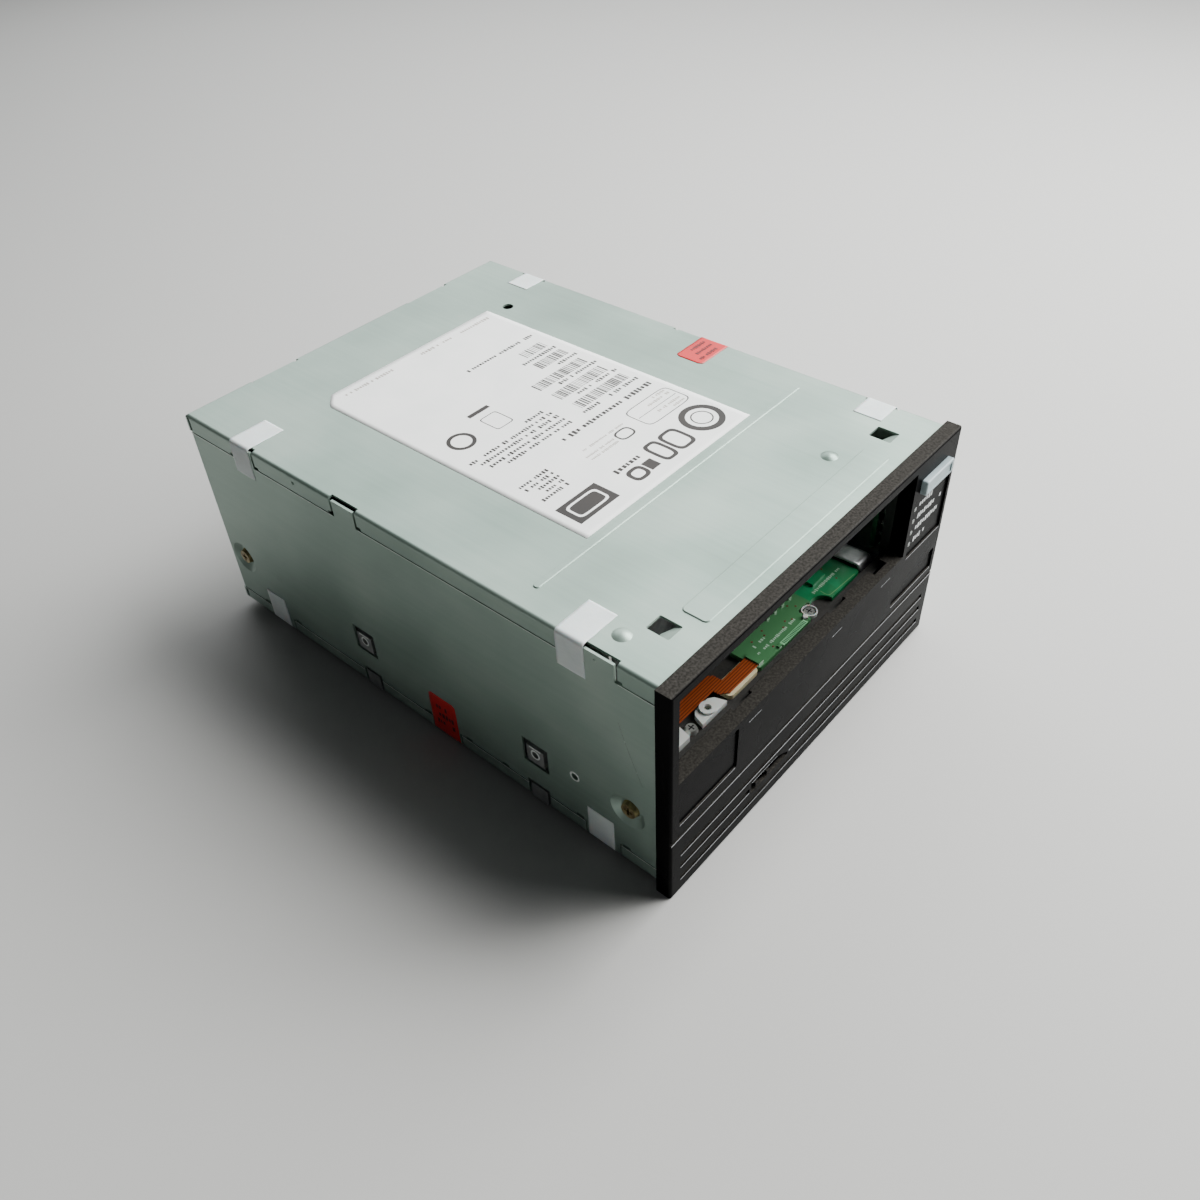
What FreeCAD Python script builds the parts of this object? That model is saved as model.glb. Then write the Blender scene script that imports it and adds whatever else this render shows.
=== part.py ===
import FreeCAD, Part
import math
import os

# A full-height 5.25-inch data tape drive, built as it comes apart on a bench.
#
# Millimetres. X runs to the right as the front is faced, Y runs to the rear, Z is up.
# While the parts are drawn, Y = 0 is the front edge of the steel enclosure and Z = 0 is its
# underside. On export everything is moved so that the origin lies at the centre of the four
# mounting holes in the underside.

vector = FreeCAD.Vector
RIGHT = vector(1, 0, 0)
REAR = vector(0, 1, 0)
UP = vector(0, 0, 1)

# ---------------------------------------------------------------- driving dimensions
# Enclosure, a 5.25-inch full-height envelope made of three folded sheets
chassis_width = 146.05
chassis_depth = 203.2
chassis_height = 82.6
sheet = 0.8                 # zinc-plated steel sheet
bend_radius = 1.2           # outside radius of a fold
seam_gap = 0.5              # open seam between two sheets' edges
lid_flange = 6.4            # height of the lid's folded sides
tray_flange = 5.5           # height of the tray's folded sides
tab_width = 10.0            # tongues of the wall sheet that lock into lid and tray
tab_gap = 1.1               # clearance each side of a tongue
tab_rows_left = (19.0, 120.7, chassis_depth - 31.4)
tab_rows_right = (21.4, 101.0, chassis_depth - 25.8)
tray_tab_rows = (21.2, 89.4, chassis_depth - 24.6)
tray_tab_width = 13.0
tray_notch_rows = (12.0, 30.4, 62.0, 78.6, 98.2, chassis_depth - 34.6, chassis_depth - 15.8)

# Mounting holes of the form factor
mount_hole_pitch = 79.25    # between the front and rear holes of a side
mount_hole_front = 47.4     # from the enclosure's front edge to the first hole
bottom_hole_inset = 3.175   # from each side wall to the holes in the underside
side_hole_height = 21.84
mount_hole_radius = 1.25    # tapped M3
mount_hole_depth = 5.0
lug_width = 7.0             # width of the casting's pads round the holes
lug_window = 10.6           # square window of the side wall round a pad

# Fixings of the side walls
dish_radius = 6.3
dish_depth = 1.7
dish_floor_radius = 3.8
dish_front = 11.2
dish_rear = chassis_depth - 8.6
dish_height = 24.2
screw_head_radius = 3.1
screw_head_height = 1.5
screw_shank_radius = 1.5
screw_shank_length = 4.0
hex_radius = 2.2            # corners of the small hexagonal heads
burr_row = 31.3             # tapped hole with a turned-out collar
burr_height = 24.3
burr_bore = 1.25

# Embossing and openings of the lid
lid_rib_row = 49.0
lid_rib_length = chassis_width - 17.05
lid_rib_width = 2.2
emboss_height = 0.35
panel_emboss = (-chassis_width / 2 + 25.7, chassis_width / 2 - 26.6, 4.0, 12.9)
lid_domes = ((-chassis_width / 2 + 9.2, 18.8), (chassis_width / 2 - 37.0, 19.3))
dome_radius = 2.8
lance_left = -chassis_width / 2 + 18.0
lance_right = chassis_width / 2 - 16.8
lance_width = 6.2
lance_length = 7.6
lance_front = 8.2
lid_hole = (chassis_width / 2 - 25.4, chassis_depth - 34.8)
lid_hole_radius = 2.1

# Front bezel, moulded ABS
bezel_overlap = 1.2         # how far the bezel stands proud of each side wall
bezel_width = chassis_width + 2 * bezel_overlap
bezel_bottom = -2.8
bezel_top = chassis_height + 0.6
bezel_depth = 5.3
bezel_wall = 2.0
bezel_edge = 0.8
slot_margin = 2.0           # from the left side wall to the slot
console_width = 26.0        # strip right of the slot with the button and lamps
slot_left = -chassis_width / 2 + slot_margin
slot_right = chassis_width / 2 - console_width
slot_bottom = 47.5
slot_top = chassis_height - 2.6
slot_rim = 1.4
sill_notches = (slot_left + 35.0, slot_right - 32.5)
sill_notch_width = 9.0
sill_notch_depth = 1.2
sill_end_notch = (slot_right - 13.0, slot_right - 5.5)
sill_end_depth = 2.6
badge_recess = (slot_left + 0.5, slot_left + 27.5, 29.0, slot_bottom - 1.9)
label_recess = (slot_right - 3.0, bezel_width / 2 - 2.7, 27.4, 36.0)
lamp_recess = (slot_right + 2.2, bezel_width / 2 - 2.2, slot_bottom - 2.5, slot_top - 13.5)
recess_depth = 0.6
step_height = 23.2
step_depth = 0.5
vent_ledges = (14.2, 8.4, 2.4)
vent_height = 2.0
vent_half_length = bezel_width / 2 - 4.6
vent_rib_pitch = 27.8
lip_chamfer = 0.5           # bevel along the lower edge of each ledge
latch_left = -bezel_width / 2 + 39.7      # trapezoid recess that interrupts the middle ledge
latch_right = latch_left + 20.0
latch_slope = 6.0
latch_low = 7.2
latch_high = 12.0
latch_depth = 1.2
latch_pips = (latch_left + 3.5, latch_left + 9.5)
latch_pip = 1.6
lamp_pitch = 4.7
lamp_heights = tuple(slot_bottom + 2.4 + lamp_pitch * lamp for lamp in range(4))
lamp_column = slot_right + 4.2
lamp_radius = 0.9

# Eject button
button_left = slot_right + 4.0
button_right = chassis_width / 2 - 4.6
button_high = slot_top - 4.6
button_low = button_high - 5.2
button_proud = 2.0
button_gap = 0.15
button_travel = 1.2
button_dish = 0.45

# Slot guide, the black frame behind the bezel
guide_depth = 3.2
guide_ledge = 44.0
guide_bottom = 38.0
guide_right = slot_right + 2.4
guide_clearance = 0.3

# Deck casting
deck_top = 25.0
deck_thickness = 3.0
deck_front = 5.0
deck_rear = chassis_depth - 4.2
skirt_clearance = 1.9       # between the side wall's inner face and the casting's skirt
skirt_wall = 2.6
foot_height = 0.8           # the casting's skirt stands on the tray's floor

# Cartridge path and loader
carriage_left = slot_left + 4.7
carriage_right = slot_right - 3.7
carriage_front = 22.0
take_up_bay = 91.2          # room behind the cartridge for the machine reel
carriage_rear = chassis_depth - take_up_bay
carriage_floor = slot_bottom + 0.5     # underside of the carriage's ledges
carriage_top = slot_top - 2.8
carriage_sheet = 1.2
ledge_width = 4.3
carriage_drop = 5.0
cam_travel = 14.0
cam_plate = 1.0
cam_gap = 1.6               # between a carriage side and its cam plate
cam_window_margin = 8.0     # between a cam plate's window and its slots
frame_plate = 1.0
frame_gap = 0.3             # running gap between a cam plate and the loader frame
pin_radius = 1.5
pin_clearance = 0.2
frame_front = carriage_front - 4.0
frame_rear = carriage_rear + 6.0
frame_top = carriage_top + 3.0
foot_reach = 4.8            # how far the frame's feet reach over the deck
pin_inset = 14.0            # from the carriage's ends to its guide pins
pin_height = carriage_floor + 12.0

# Loader gears, all with axes along X
gear_module = 0.8
rack_gear_teeth = 16
load_gear_teeth = 32
pinion_teeth = 12
gear_width = 1.6
backlash = 0.16
shaft_row = carriage_rear - 15.0
shaft_height = 40.0
shaft_radius = 1.5
motor_radius = 9.5
motor_length = 15.0

# Reel drives
supply_row = carriage_rear - 42.0
motor_can_radius = 23.0
motor_can_height = 13.0
spindle_radius = 17.5
spindle_top = 46.6
spindle_teeth = 24
air_gap = 0.4
take_up_row = carriage_rear + 47.0
reel_radius = 34.0
reel_hub_radius = 20.0
reel_bottom = 46.0
reel_height = 16.0
reel_flange = 1.4
reel_spokes = 6

# Tape path: rollers, head and threading arm
tape_width = 12.65
roller_radius = 5.0
roller_flange_radius = 6.2
roller_bottom = 46.4
# each roller's place, from the right wall and from the head's row
roller_steps = ((14.5, -27.2), (9.5, -15.2), (9.5, 15.2), (21.0, 24.8))
roller_post_radius = 1.6
roller_bore_gap = 0.06
head_row = carriage_rear + 33.2
head_x = chassis_width / 2 - 10.0
head_width = 7.0
head_travel = 3.0
head_stand = 40.0           # the stand's lower shelf, on which the magnet core is fixed
head_shelf = 2.0            # thickness of the stand's shelves
head_rise = 32.0            # from the lower shelf to the upper one
head_rod_inset = 1.5        # how deep the guide rods sit in the shelves
rod_radius = 1.2
rod_spread = 13.0
arm_pivot = (carriage_right - 19.3, carriage_rear + 21.0)
arm_radius = 22.0
arm_rest_angle = -50.5
arm_height = 64.6
arm_thickness = 2.0
arm_pin_radius = 1.6
arm_bore_gap = 0.06

# Front shelf and what it carries
shelf_top = 42.9
shelf_thickness = 2.6
shelf_front = 3.5
shelf_rear = 17.0
board_thickness = 1.6
front_board_left = slot_left + 51.0
front_board_right = slot_right - 11.0
front_board_rear = 16.4

# Main board and rear connectors
main_board_height = 9.4     # underside of the board
main_board_front = 30.0
main_board_rear = chassis_depth - 3.2
main_board_half = chassis_width / 2 - 9.0
standoff_width = 5.0
power_centre = -chassis_width / 2 + 17.0
jumper_centre = power_centre + 25.0
data_centre = chassis_width / 2 - 51.0
fan_size = 40.0
fan_depth = 10.0
fan_lift = 27.0             # from the deck to the fan's axis
fan_centre = (chassis_width / 2 - 26.0, deck_top + fan_lift)

# ---------------------------------------------------------------- values worked out
half_width = chassis_width / 2
bottom_hole_spread = chassis_width - 2 * bottom_hole_inset
inner_half = half_width - sheet
inner_top = chassis_height - sheet
inner_rear = chassis_depth - sheet
wall_bottom = tray_flange + seam_gap
wall_top = chassis_height - lid_flange - seam_gap
origin_row = mount_hole_front + mount_hole_pitch / 2
mount_rows = (mount_hole_front, mount_hole_front + mount_hole_pitch)
skirt_outer = inner_half - skirt_clearance
deck_bottom = deck_top - deck_thickness
cartridge_axis = (carriage_left + carriage_right) / 2
take_up_axis = cartridge_axis - 1.5
roller_places = [(half_width - inset, head_row + step) for inset, step in roller_steps]
load_gear_left = carriage_right + cam_gap + cam_plate + frame_gap + frame_plate + 2.4
rack_radius = gear_module * rack_gear_teeth / 2
load_gear_radius = gear_module * load_gear_teeth / 2
pinion_radius = gear_module * pinion_teeth / 2
motor_row = shaft_row - load_gear_radius - pinion_radius
rack_line = shaft_height + rack_radius
board_top = main_board_height + board_thickness


# ---------------------------------------------------------------- drawing helpers
def block(x_range, y_range, z_range):
    """A box between two corners."""
    size = [high - low for low, high in (x_range, y_range, z_range)]
    return Part.makeBox(*size, vector(x_range[0], y_range[0], z_range[0]))


def rounded(shape, direction, radius):
    """Rounds every straight edge that runs along one axis."""
    edges = []
    for edge in shape.Edges:
        if edge.Curve.TypeId != "Part::GeomLine":
            continue
        along = edge.tangentAt(edge.FirstParameter)
        if abs(abs(along.dot(direction)) - 1) < 1e-6:
            edges.append(edge)
    return shape.makeFillet(radius, edges)


def rod(start, direction, radius, length):
    """A round bar from a point along an axis."""
    return Part.makeCylinder(radius, length, vector(*start), direction)


def tube(start, direction, outer, inner, length):
    """A round bar with a bore."""
    return rod(start, direction, outer, length).cut(rod(start, direction, inner, length))


def joined(shapes):
    """One solid out of touching shapes."""
    whole = shapes[0]
    if len(shapes) > 1:
        whole = shapes[0].fuse(list(shapes[1:]))
    return whole.removeSplitter()


def without(shape, tools):
    """A shape with every tool cut away."""
    return shape.cut(list(tools))


def extruded(points, direction):
    """A closed outline of points, pushed along a vector."""
    return Part.Face(Part.makePolygon(list(points) + [points[0]])).extrude(direction)


def turned(profile, centre, direction):
    """A profile of (along, radius) points turned round an axis."""
    side = RIGHT if abs(direction.x) < 0.5 else UP
    start = vector(*centre)
    points = [start + direction * along + side * radius for along, radius in profile]
    face = Part.Face(Part.makePolygon(points + [points[0]]))
    return face.revolve(start, direction, 360)


def mirrored(shape):
    """The same shape on the other side of the drive."""
    return shape.mirror(vector(0, 0, 0), RIGHT)


parts = {}


def keep(name, *shapes):
    """Stores the solids of one named part."""
    solids = [solid for shape in shapes for solid in shape.Solids]
    parts[name] = solids


# ---------------------------------------------------------------- sheet enclosure
def folded_tray(flange, upside_down):
    """A sheet with its two sides and rear folded, open at the front."""
    low = chassis_height - flange if upside_down else 0
    outer = block((-half_width, half_width), (0, chassis_depth), (low, low + flange))
    fold_level = low + flange if upside_down else low
    folds = []
    for edge in outer.Edges:
        middle = edge.CenterOfMass
        at_fold = abs(middle.z - fold_level) < 1e-6
        if at_fold and middle.y > 1e-6:
            folds.append(edge)
    outer = outer.makeFillet(bend_radius, folds)
    floor = -sheet if upside_down else sheet
    inner = block((-inner_half, inner_half), (-1, inner_rear), (low + floor, low + flange + floor))
    tray = outer.cut(inner)
    slit = block((inner_half - bend_radius, half_width + 1),
                 (inner_rear - bend_radius, chassis_depth + 1),
                 (low + max(floor, 0), low + flange + min(floor, 0)))
    corner = slit.common(block((inner_half - bend_radius, half_width + 1),
                               (inner_rear - bend_radius, inner_rear - bend_radius + tab_gap),
                               (-1, chassis_height + 1)))
    return tray.cut([corner, mirrored(corner)])


def lid_notches(rows, side):
    """Room in the lid's flange for the tongues of a side wall."""
    notches = []
    outside = side * (half_width + 1)
    inside = side * (inner_half - tab_gap)
    span = sorted((outside, inside))
    for row in rows:
        reach = tab_width / 2 + tab_gap
        notches.append(block(span, (row - reach, row + reach),
                             (wall_top - 1, chassis_height + 1)))
        foot = reach + 1.6
        notches.append(block(span, (row - foot, row + foot),
                             (wall_top - 1, wall_top + seam_gap + 0.9)))
    return notches


def raised_strip(x_range, y_range, corner):
    """A shallow embossed field on the lid, with its hollow below."""
    top = block(x_range, y_range, (chassis_height - sheet / 2, chassis_height + emboss_height))
    top = rounded(top, UP, corner)
    upper = [edge for edge in top.Edges if abs(edge.CenterOfMass.z - top.BoundBox.ZMax) < 1e-6]
    return top.makeChamfer(emboss_height * 0.8, upper)


def lanced_window(centre, lean):
    """A window in the lid with a leaf pressed down from its front edge."""
    half = lance_width / 2
    rear = lance_front + lance_length
    window = rounded(block((centre - half, centre + half), (lance_front, rear),
                           (inner_top - 1, chassis_height + 1)), UP, 0.6)
    leaf_tip = lance_front + lance_length * 0.58
    drop = 2.2
    leaf = extruded([vector(centre - half + 0.3, lance_front - 0.2, inner_top),
                     vector(centre - half + 0.3, lance_front - 0.2, chassis_height),
                     vector(centre - half + 0.3, leaf_tip, chassis_height - drop),
                     vector(centre - half + 0.3, leaf_tip, inner_top - drop)],
                    vector(lance_width - 0.6, 0, 0))
    corner = leaf_tip - 2.4
    trim = extruded([vector(centre + lean * half, leaf_tip + 0.1, 0),
                     vector(centre - lean * half * 0.2, leaf_tip + 0.1, 0),
                     vector(centre + lean * half, corner, 0)], vector(0, 0, chassis_height + 2))
    return window, leaf.cut(trim)


def top_cover():
    lid = folded_tray(lid_flange, True)
    lid = without(lid, lid_notches(tab_rows_left, -1) + lid_notches(tab_rows_right, 1))
    rear_tab = block((-tab_width, tab_width), (inner_rear - tab_gap, chassis_depth + 1),
                     (wall_top - 1, chassis_height + 1))
    rear_places = (-half_width / 2, half_width / 2)
    lid = without(lid, [rear_tab.translated(vector(place, 0, 0)) for place in rear_places])
    rib_half = lid_rib_length / 2
    rib = raised_strip((-rib_half, rib_half),
                       (lid_rib_row - lid_rib_width / 2, lid_rib_row + lid_rib_width / 2), 1.0)
    left, right, front, rear = panel_emboss
    field = raised_strip((left, right), (front, rear), 1.6)
    domes = []
    for x, y in lid_domes:
        ball_radius = (dome_radius ** 2 + 1.0) / 2.0
        ball = Part.makeSphere(ball_radius, vector(x, y, chassis_height + 1.0 - ball_radius))
        domes.append(ball.common(block((x - 5, x + 5), (y - 5, y + 5),
                                       (chassis_height - sheet / 2, chassis_height + 2))))
    lid = joined([lid, rib, field] + domes)
    for centre, lean in ((lance_left, 1), (lance_right, 1)):
        window, leaf = lanced_window(centre, lean)
        lid = lid.cut(window).fuse(leaf)
    x, y = lid_hole
    lid = lid.cut(rod((x, y, inner_top - 1), UP, lid_hole_radius, 4))
    return lid.removeSplitter()


def bottom_cover():
    tray = folded_tray(tray_flange, False)
    cuts = []
    for side in (-1, 1):
        span = sorted((side * (half_width + 1), side * (inner_half - 0.6)))
        for row in tray_tab_rows:
            reach = tray_tab_width / 2 + tab_gap / 2
            cuts.append(block(span, (row - reach, row + reach), (-1, tray_flange + 1)))
        for row in mount_rows:
            reach = lug_width / 2 + tab_gap
            pocket = sorted((side * (half_width + 1), side * (bottom_hole_spread / 2 - 4.6)))
            cuts.append(block(pocket, (row - reach, row + reach), (-1, tray_flange + 1)))
    vent = rounded(block((-1.5, 1.5), (-14, 14), (-1, sheet + 1)), UP, 1.45)
    for x in range(-1, 2):
        for y in (supply_row, take_up_row - 11.0):
            cuts.append(vent.translated(vector(x * 13.0, y, 0)))
    return without(tray, cuts)


def side_dish(row):
    """A conical dish pressed into a side wall round a fixing screw."""
    hole_radius = screw_shank_radius + 0.2
    back = dish_depth + sheet
    profile = [(0, dish_radius), (dish_depth, dish_floor_radius), (dish_depth, hole_radius),
               (back, hole_radius), (back, dish_floor_radius - 0.2), (sheet, dish_radius)]
    place = (-half_width, row, dish_height)
    hole = rod(place, RIGHT, dish_radius, sheet)
    return hole, turned(profile, place, RIGHT)


def side_wrap():
    outer = block((-half_width, half_width), (0, chassis_depth), (wall_bottom, wall_top))
    outer = rounded_rear(outer, bend_radius)
    inner = block((-inner_half, inner_half), (-1, inner_rear), (wall_bottom - 1, wall_top + 1))
    wrap = outer.cut(inner)
    added = []
    for side, rows in ((-1, tab_rows_left), (1, tab_rows_right)):
        span = sorted((side * half_width, side * inner_half))
        for row in rows:
            tongue = block(span, (row - tab_width / 2, row + tab_width / 2),
                           (wall_top - 0.1, chassis_height - sheet))
            added.append(tongue)
        for row in tray_tab_rows:
            tongue = block(span, (row - tray_tab_width / 2, row + tray_tab_width / 2),
                           (sheet + 0.2, wall_bottom + 0.1))
            added.append(tongue)
    for place in (-half_width / 2, half_width / 2):
        added.append(block((place - tab_width + tab_gap, place + tab_width - tab_gap),
                           (inner_rear, chassis_depth), (wall_top - 0.1, chassis_height - sheet)))
    wrap = joined([wrap] + added)
    cuts = []
    dishes = []
    for row in mount_rows:
        reach = lug_window / 2
        window = block((-half_width - 1, -inner_half + 1), (row - reach, row + reach),
                       (side_hole_height - reach, side_hole_height + reach))
        cuts.append(window)
        foot = lug_width / 2 + tab_gap
        cuts.append(block((-half_width - 1, -inner_half + 1), (row - foot, row + foot),
                          (wall_bottom - 1, wall_bottom + 1.8)))
    for row in tray_notch_rows:
        cuts.append(block((-half_width - 1, -inner_half + 1), (row - 1.5, row + 1.5),
                          (wall_bottom - 1, wall_bottom + 0.9)))
    for row in (dish_front, dish_rear):
        hole, dish = side_dish(row)
        cuts.append(hole)
        dishes.append(dish)
    cuts.append(rod((-half_width - 1, burr_row, burr_height), RIGHT, burr_bore, 3))
    cuts = cuts + [mirrored(shape) for shape in cuts]
    wrap = without(wrap, cuts)
    collar = tube((-inner_half, burr_row, burr_height), RIGHT, burr_bore + 0.9, burr_bore, 1.2)
    dishes.append(collar)
    wrap = joined([wrap] + dishes + [mirrored(shape) for shape in dishes])
    return without(wrap, rear_openings())


def rounded_rear(shape, radius):
    """Rounds the two upright folds at the rear."""
    folds = [edge for edge in shape.Edges
             if edge.CenterOfMass.y > chassis_depth - 1e-6 and abs(edge.tangentAt(0).z) > 0.99]
    return shape.makeFillet(radius, folds)


def rear_openings():
    """Cut-outs of the rear wall: sockets and fan grille."""
    deep = (inner_rear - 1, chassis_depth + 1)
    openings = [
        block((power_centre - 11.2, power_centre + 11.2), deep, (board_top - 0.4, board_top + 9.2)),
        block((jumper_centre - 7.4, jumper_centre + 7.4), deep, (board_top - 0.4, board_top + 6.0)),
        block((data_centre - 30.4, data_centre + 30.4), deep, (board_top - 0.4, board_top + 9.6)),
    ]
    x, z = fan_centre
    ring_outer = fan_size / 2 - 1.8
    hub = 6.0
    rings = tube((x, inner_rear - 1, z), REAR, ring_outer, hub, sheet + 2)
    webs = []
    middle = (ring_outer + hub) / 2
    webs.append(tube((x, inner_rear - 1, z), REAR, middle + 0.7, middle - 0.7, sheet + 2))
    for turn in range(3):
        bar = block((-ring_outer, ring_outer), deep, (-0.8, 0.8))
        bar.rotate(vector(0, 0, 0), REAR, 60 * turn + 30)
        webs.append(bar.translated(vector(x, 0, z)))
    openings.append(rings.cut(webs))
    return openings


# ---------------------------------------------------------------- front
def front_bezel():
    half = bezel_width / 2
    body = block((-half, half), (-bezel_depth, 0), (bezel_bottom, bezel_top))
    front = [edge for edge in body.Edges if edge.CenterOfMass.y < -bezel_depth + 1e-6]
    body = body.makeFillet(bezel_edge, front)
    pocket = block((-half + bezel_wall, half - bezel_wall), (-bezel_depth + bezel_wall, 1),
                   (bezel_bottom + bezel_wall, bezel_top - bezel_wall))
    rim = block((slot_left - slot_rim, slot_right + slot_rim), (-bezel_depth, 0),
                (slot_bottom - slot_rim, slot_top + slot_rim))
    body = body.cut(pocket.cut(rim))
    cuts = [block((slot_left, slot_right), (-bezel_depth - 1, 1), (slot_bottom, slot_top))]
    for place in sill_notches:
        cuts.append(block((place - sill_notch_width / 2, place + sill_notch_width / 2),
                          (-sill_notch_depth, 1), (slot_bottom - slot_rim - 1, slot_bottom + 1)))
    cuts.append(block(sill_end_notch, (-sill_end_depth, 1), (slot_bottom - slot_rim - 1, slot_bottom + 1)))
    for left, right, low, high in (badge_recess, label_recess, lamp_recess):
        cuts.append(rounded(block((left, right), (-bezel_depth - 1, -bezel_depth + recess_depth),
                                  (low, high)), REAR, 1.0))
    cuts.append(block((-half - 1, half + 1), (-bezel_depth - 1, -bezel_depth + step_depth),
                      (step_height, step_height + 1.3)))
    latch_room = block((latch_left - 0.8, latch_right + 0.8), (-bezel_depth - 2, 2),
                       (latch_low - 0.8, latch_high + 0.8))
    for ledge in vent_ledges:
        slot = block((-vent_half_length, vent_half_length), (-bezel_depth - 1, 1),
                     (ledge, ledge + vent_height))
        count = int(vent_half_length / vent_rib_pitch)
        ribs = [block((rib * vent_rib_pitch - 0.8, rib * vent_rib_pitch + 0.8),
                      (-bezel_depth + 1.2, 0), (ledge, ledge + vent_height))
                for rib in range(-count, count + 1)]
        bevel = [(-bezel_depth - lip_chamfer, ledge - 2 * lip_chamfer),
                 (-bezel_depth + lip_chamfer, ledge), (-bezel_depth - lip_chamfer, ledge)]
        lip = extruded([vector(-vent_half_length, row, level) for row, level in bevel],
                       vector(2 * vent_half_length, 0, 0))
        cuts += [slot.cut(ribs + [latch_room]), lip.cut(latch_room)]
    cuts.append(latch_recess())
    cuts.append(button_hole())
    for height in lamp_heights:
        cuts.append(rod((lamp_column, -bezel_depth - 1, height), REAR, lamp_radius, bezel_depth + 2))
    body = without(body, cuts)
    tongues = []
    for side, low in ((-1, 8.0), (-1, 27.0), (1, 8.0), (1, 60.0)):
        span = sorted((side * (inner_half - 0.3), side * (inner_half - 1.5)))
        tongues.append(block(span, (-bezel_depth + bezel_wall, 4.0), (low, low + 8.0)))
        link = sorted((side * (inner_half - 1.5), side * (half - 1.0)))
        tongues.append(block(link, (-bezel_depth + bezel_wall - 0.1, -1.0), (low, low + 8.0)))
    return joined([body] + tongues)


def latch_recess():
    """The trapezoid recess in the middle ledge, with two square pips left standing in it."""
    outline = [(latch_left, latch_low), (latch_left, latch_high), (latch_right - latch_slope, latch_high),
               (latch_right, latch_low + 1.2), (latch_right, latch_low)]
    recess = extruded([vector(x, -bezel_depth - 1, z) for x, z in outline],
                      vector(0, latch_depth + 1, 0))
    half = latch_pip / 2
    level = latch_low + 1.4
    pips = [block((x - half, x + half), (-bezel_depth + 0.1, 0), (level - half, level + half))
            for x in latch_pips]
    return recess.cut(pips)


def button_hole():
    """The opening in which the eject button slides."""
    hole = block((button_left - button_gap, button_right + button_gap), (-bezel_depth - 1, 1),
                 (button_low - button_gap, button_high + button_gap))
    return rounded(hole, REAR, 0.8 + button_gap)


def eject_button():
    face = -bezel_depth - button_proud
    cap = rounded(block((button_left, button_right), (face, -1.0), (button_low, button_high)),
                  REAR, 0.8)
    edge = [item for item in cap.Edges if abs(item.CenterOfMass.y - face) < 1e-6]
    cap = cap.makeFillet(0.5, edge)
    middle = (button_left + button_right) / 2
    level = (button_low + button_high) / 2
    bowl_radius = 9.0
    bowl = rod((button_left + 1.3, face - bowl_radius + button_dish, level), RIGHT, bowl_radius,
               button_right - button_left - 2.6)
    bowl = bowl.common(block((button_left, button_right), (face - 1, 0),
                             (button_low + 0.9, button_high - 0.9)))
    flange = block((button_left - 1.2, button_right + 1.2), (-bezel_depth + bezel_wall + button_gap, -1.0),
                   (button_low - 1.0, button_high + 1.0))
    stem = rod((middle, -1.1, level), REAR, 1.6, panel_front() - 2.2 + 1.1 - button_travel - 0.1)
    return joined([cap.cut(bowl), flange, stem])


def panel_front():
    """Front face of the small upright board behind the lamps and the button."""
    return 6.6


def slot_guide():
    outer = block((-inner_half + guide_clearance, guide_right), (0, guide_depth),
                  (guide_bottom, inner_top - guide_clearance))
    hole = block((slot_left, slot_right), (-1, guide_depth + 1), (guide_ledge, slot_top))
    cradle = []
    for place in sill_notches:
        cradle.append(block((place - 3.0, place + 3.0), (guide_depth - 1.0, guide_depth + 1),
                            (guide_bottom - 1, guide_bottom + 2.6)))
    return without(outer, [hole] + cradle)


def light_pipes():
    """One clear moulding: four square light guides with round noses, joined by a spine."""
    back = panel_front() - 1.3
    front = -bezel_depth + recess_depth
    spine_front = -bezel_depth + bezel_wall + 0.1
    pipes = [rod((lamp_column, front, height), REAR, lamp_radius - 0.08, spine_front - front + 0.1)
             for height in lamp_heights]
    half = lamp_radius - 0.2
    pipes += [block((lamp_column - half, lamp_column + half), (spine_front + 0.1, back),
                    (height - half, height + half)) for height in lamp_heights]
    spine = block((lamp_column - lamp_radius, lamp_column + lamp_radius), (spine_front, spine_front + 1.4),
                  (min(lamp_heights) - 1.6, max(lamp_heights) + 1.6))
    return joined([spine] + pipes)


def panel_board():
    rear = panel_front() + board_thickness
    board = block((guide_right + 0.6, inner_half - 1.2), (panel_front(), rear),
                  (slot_bottom - 4.1, slot_top - 0.6))
    return rounded(board, REAR, 1.0)


def panel_parts():
    """Four surface-mounted lamps and the push switch behind the button."""
    lamps = [block((lamp_column - 1.0, lamp_column + 1.0), (panel_front() - 1.0, panel_front()),
                   (height - 0.8, height + 0.8)) for height in lamp_heights]
    middle = (button_left + button_right) / 2
    level = (button_low + button_high) / 2
    switch = block((middle - 3, middle + 3), (panel_front() - 1.6, panel_front()), (level - 3, level + 3))
    plunger = rod((middle, panel_front() - 2.2, level), REAR, 1.4, 0.7)
    return lamps + [joined([switch, plunger])]


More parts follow.
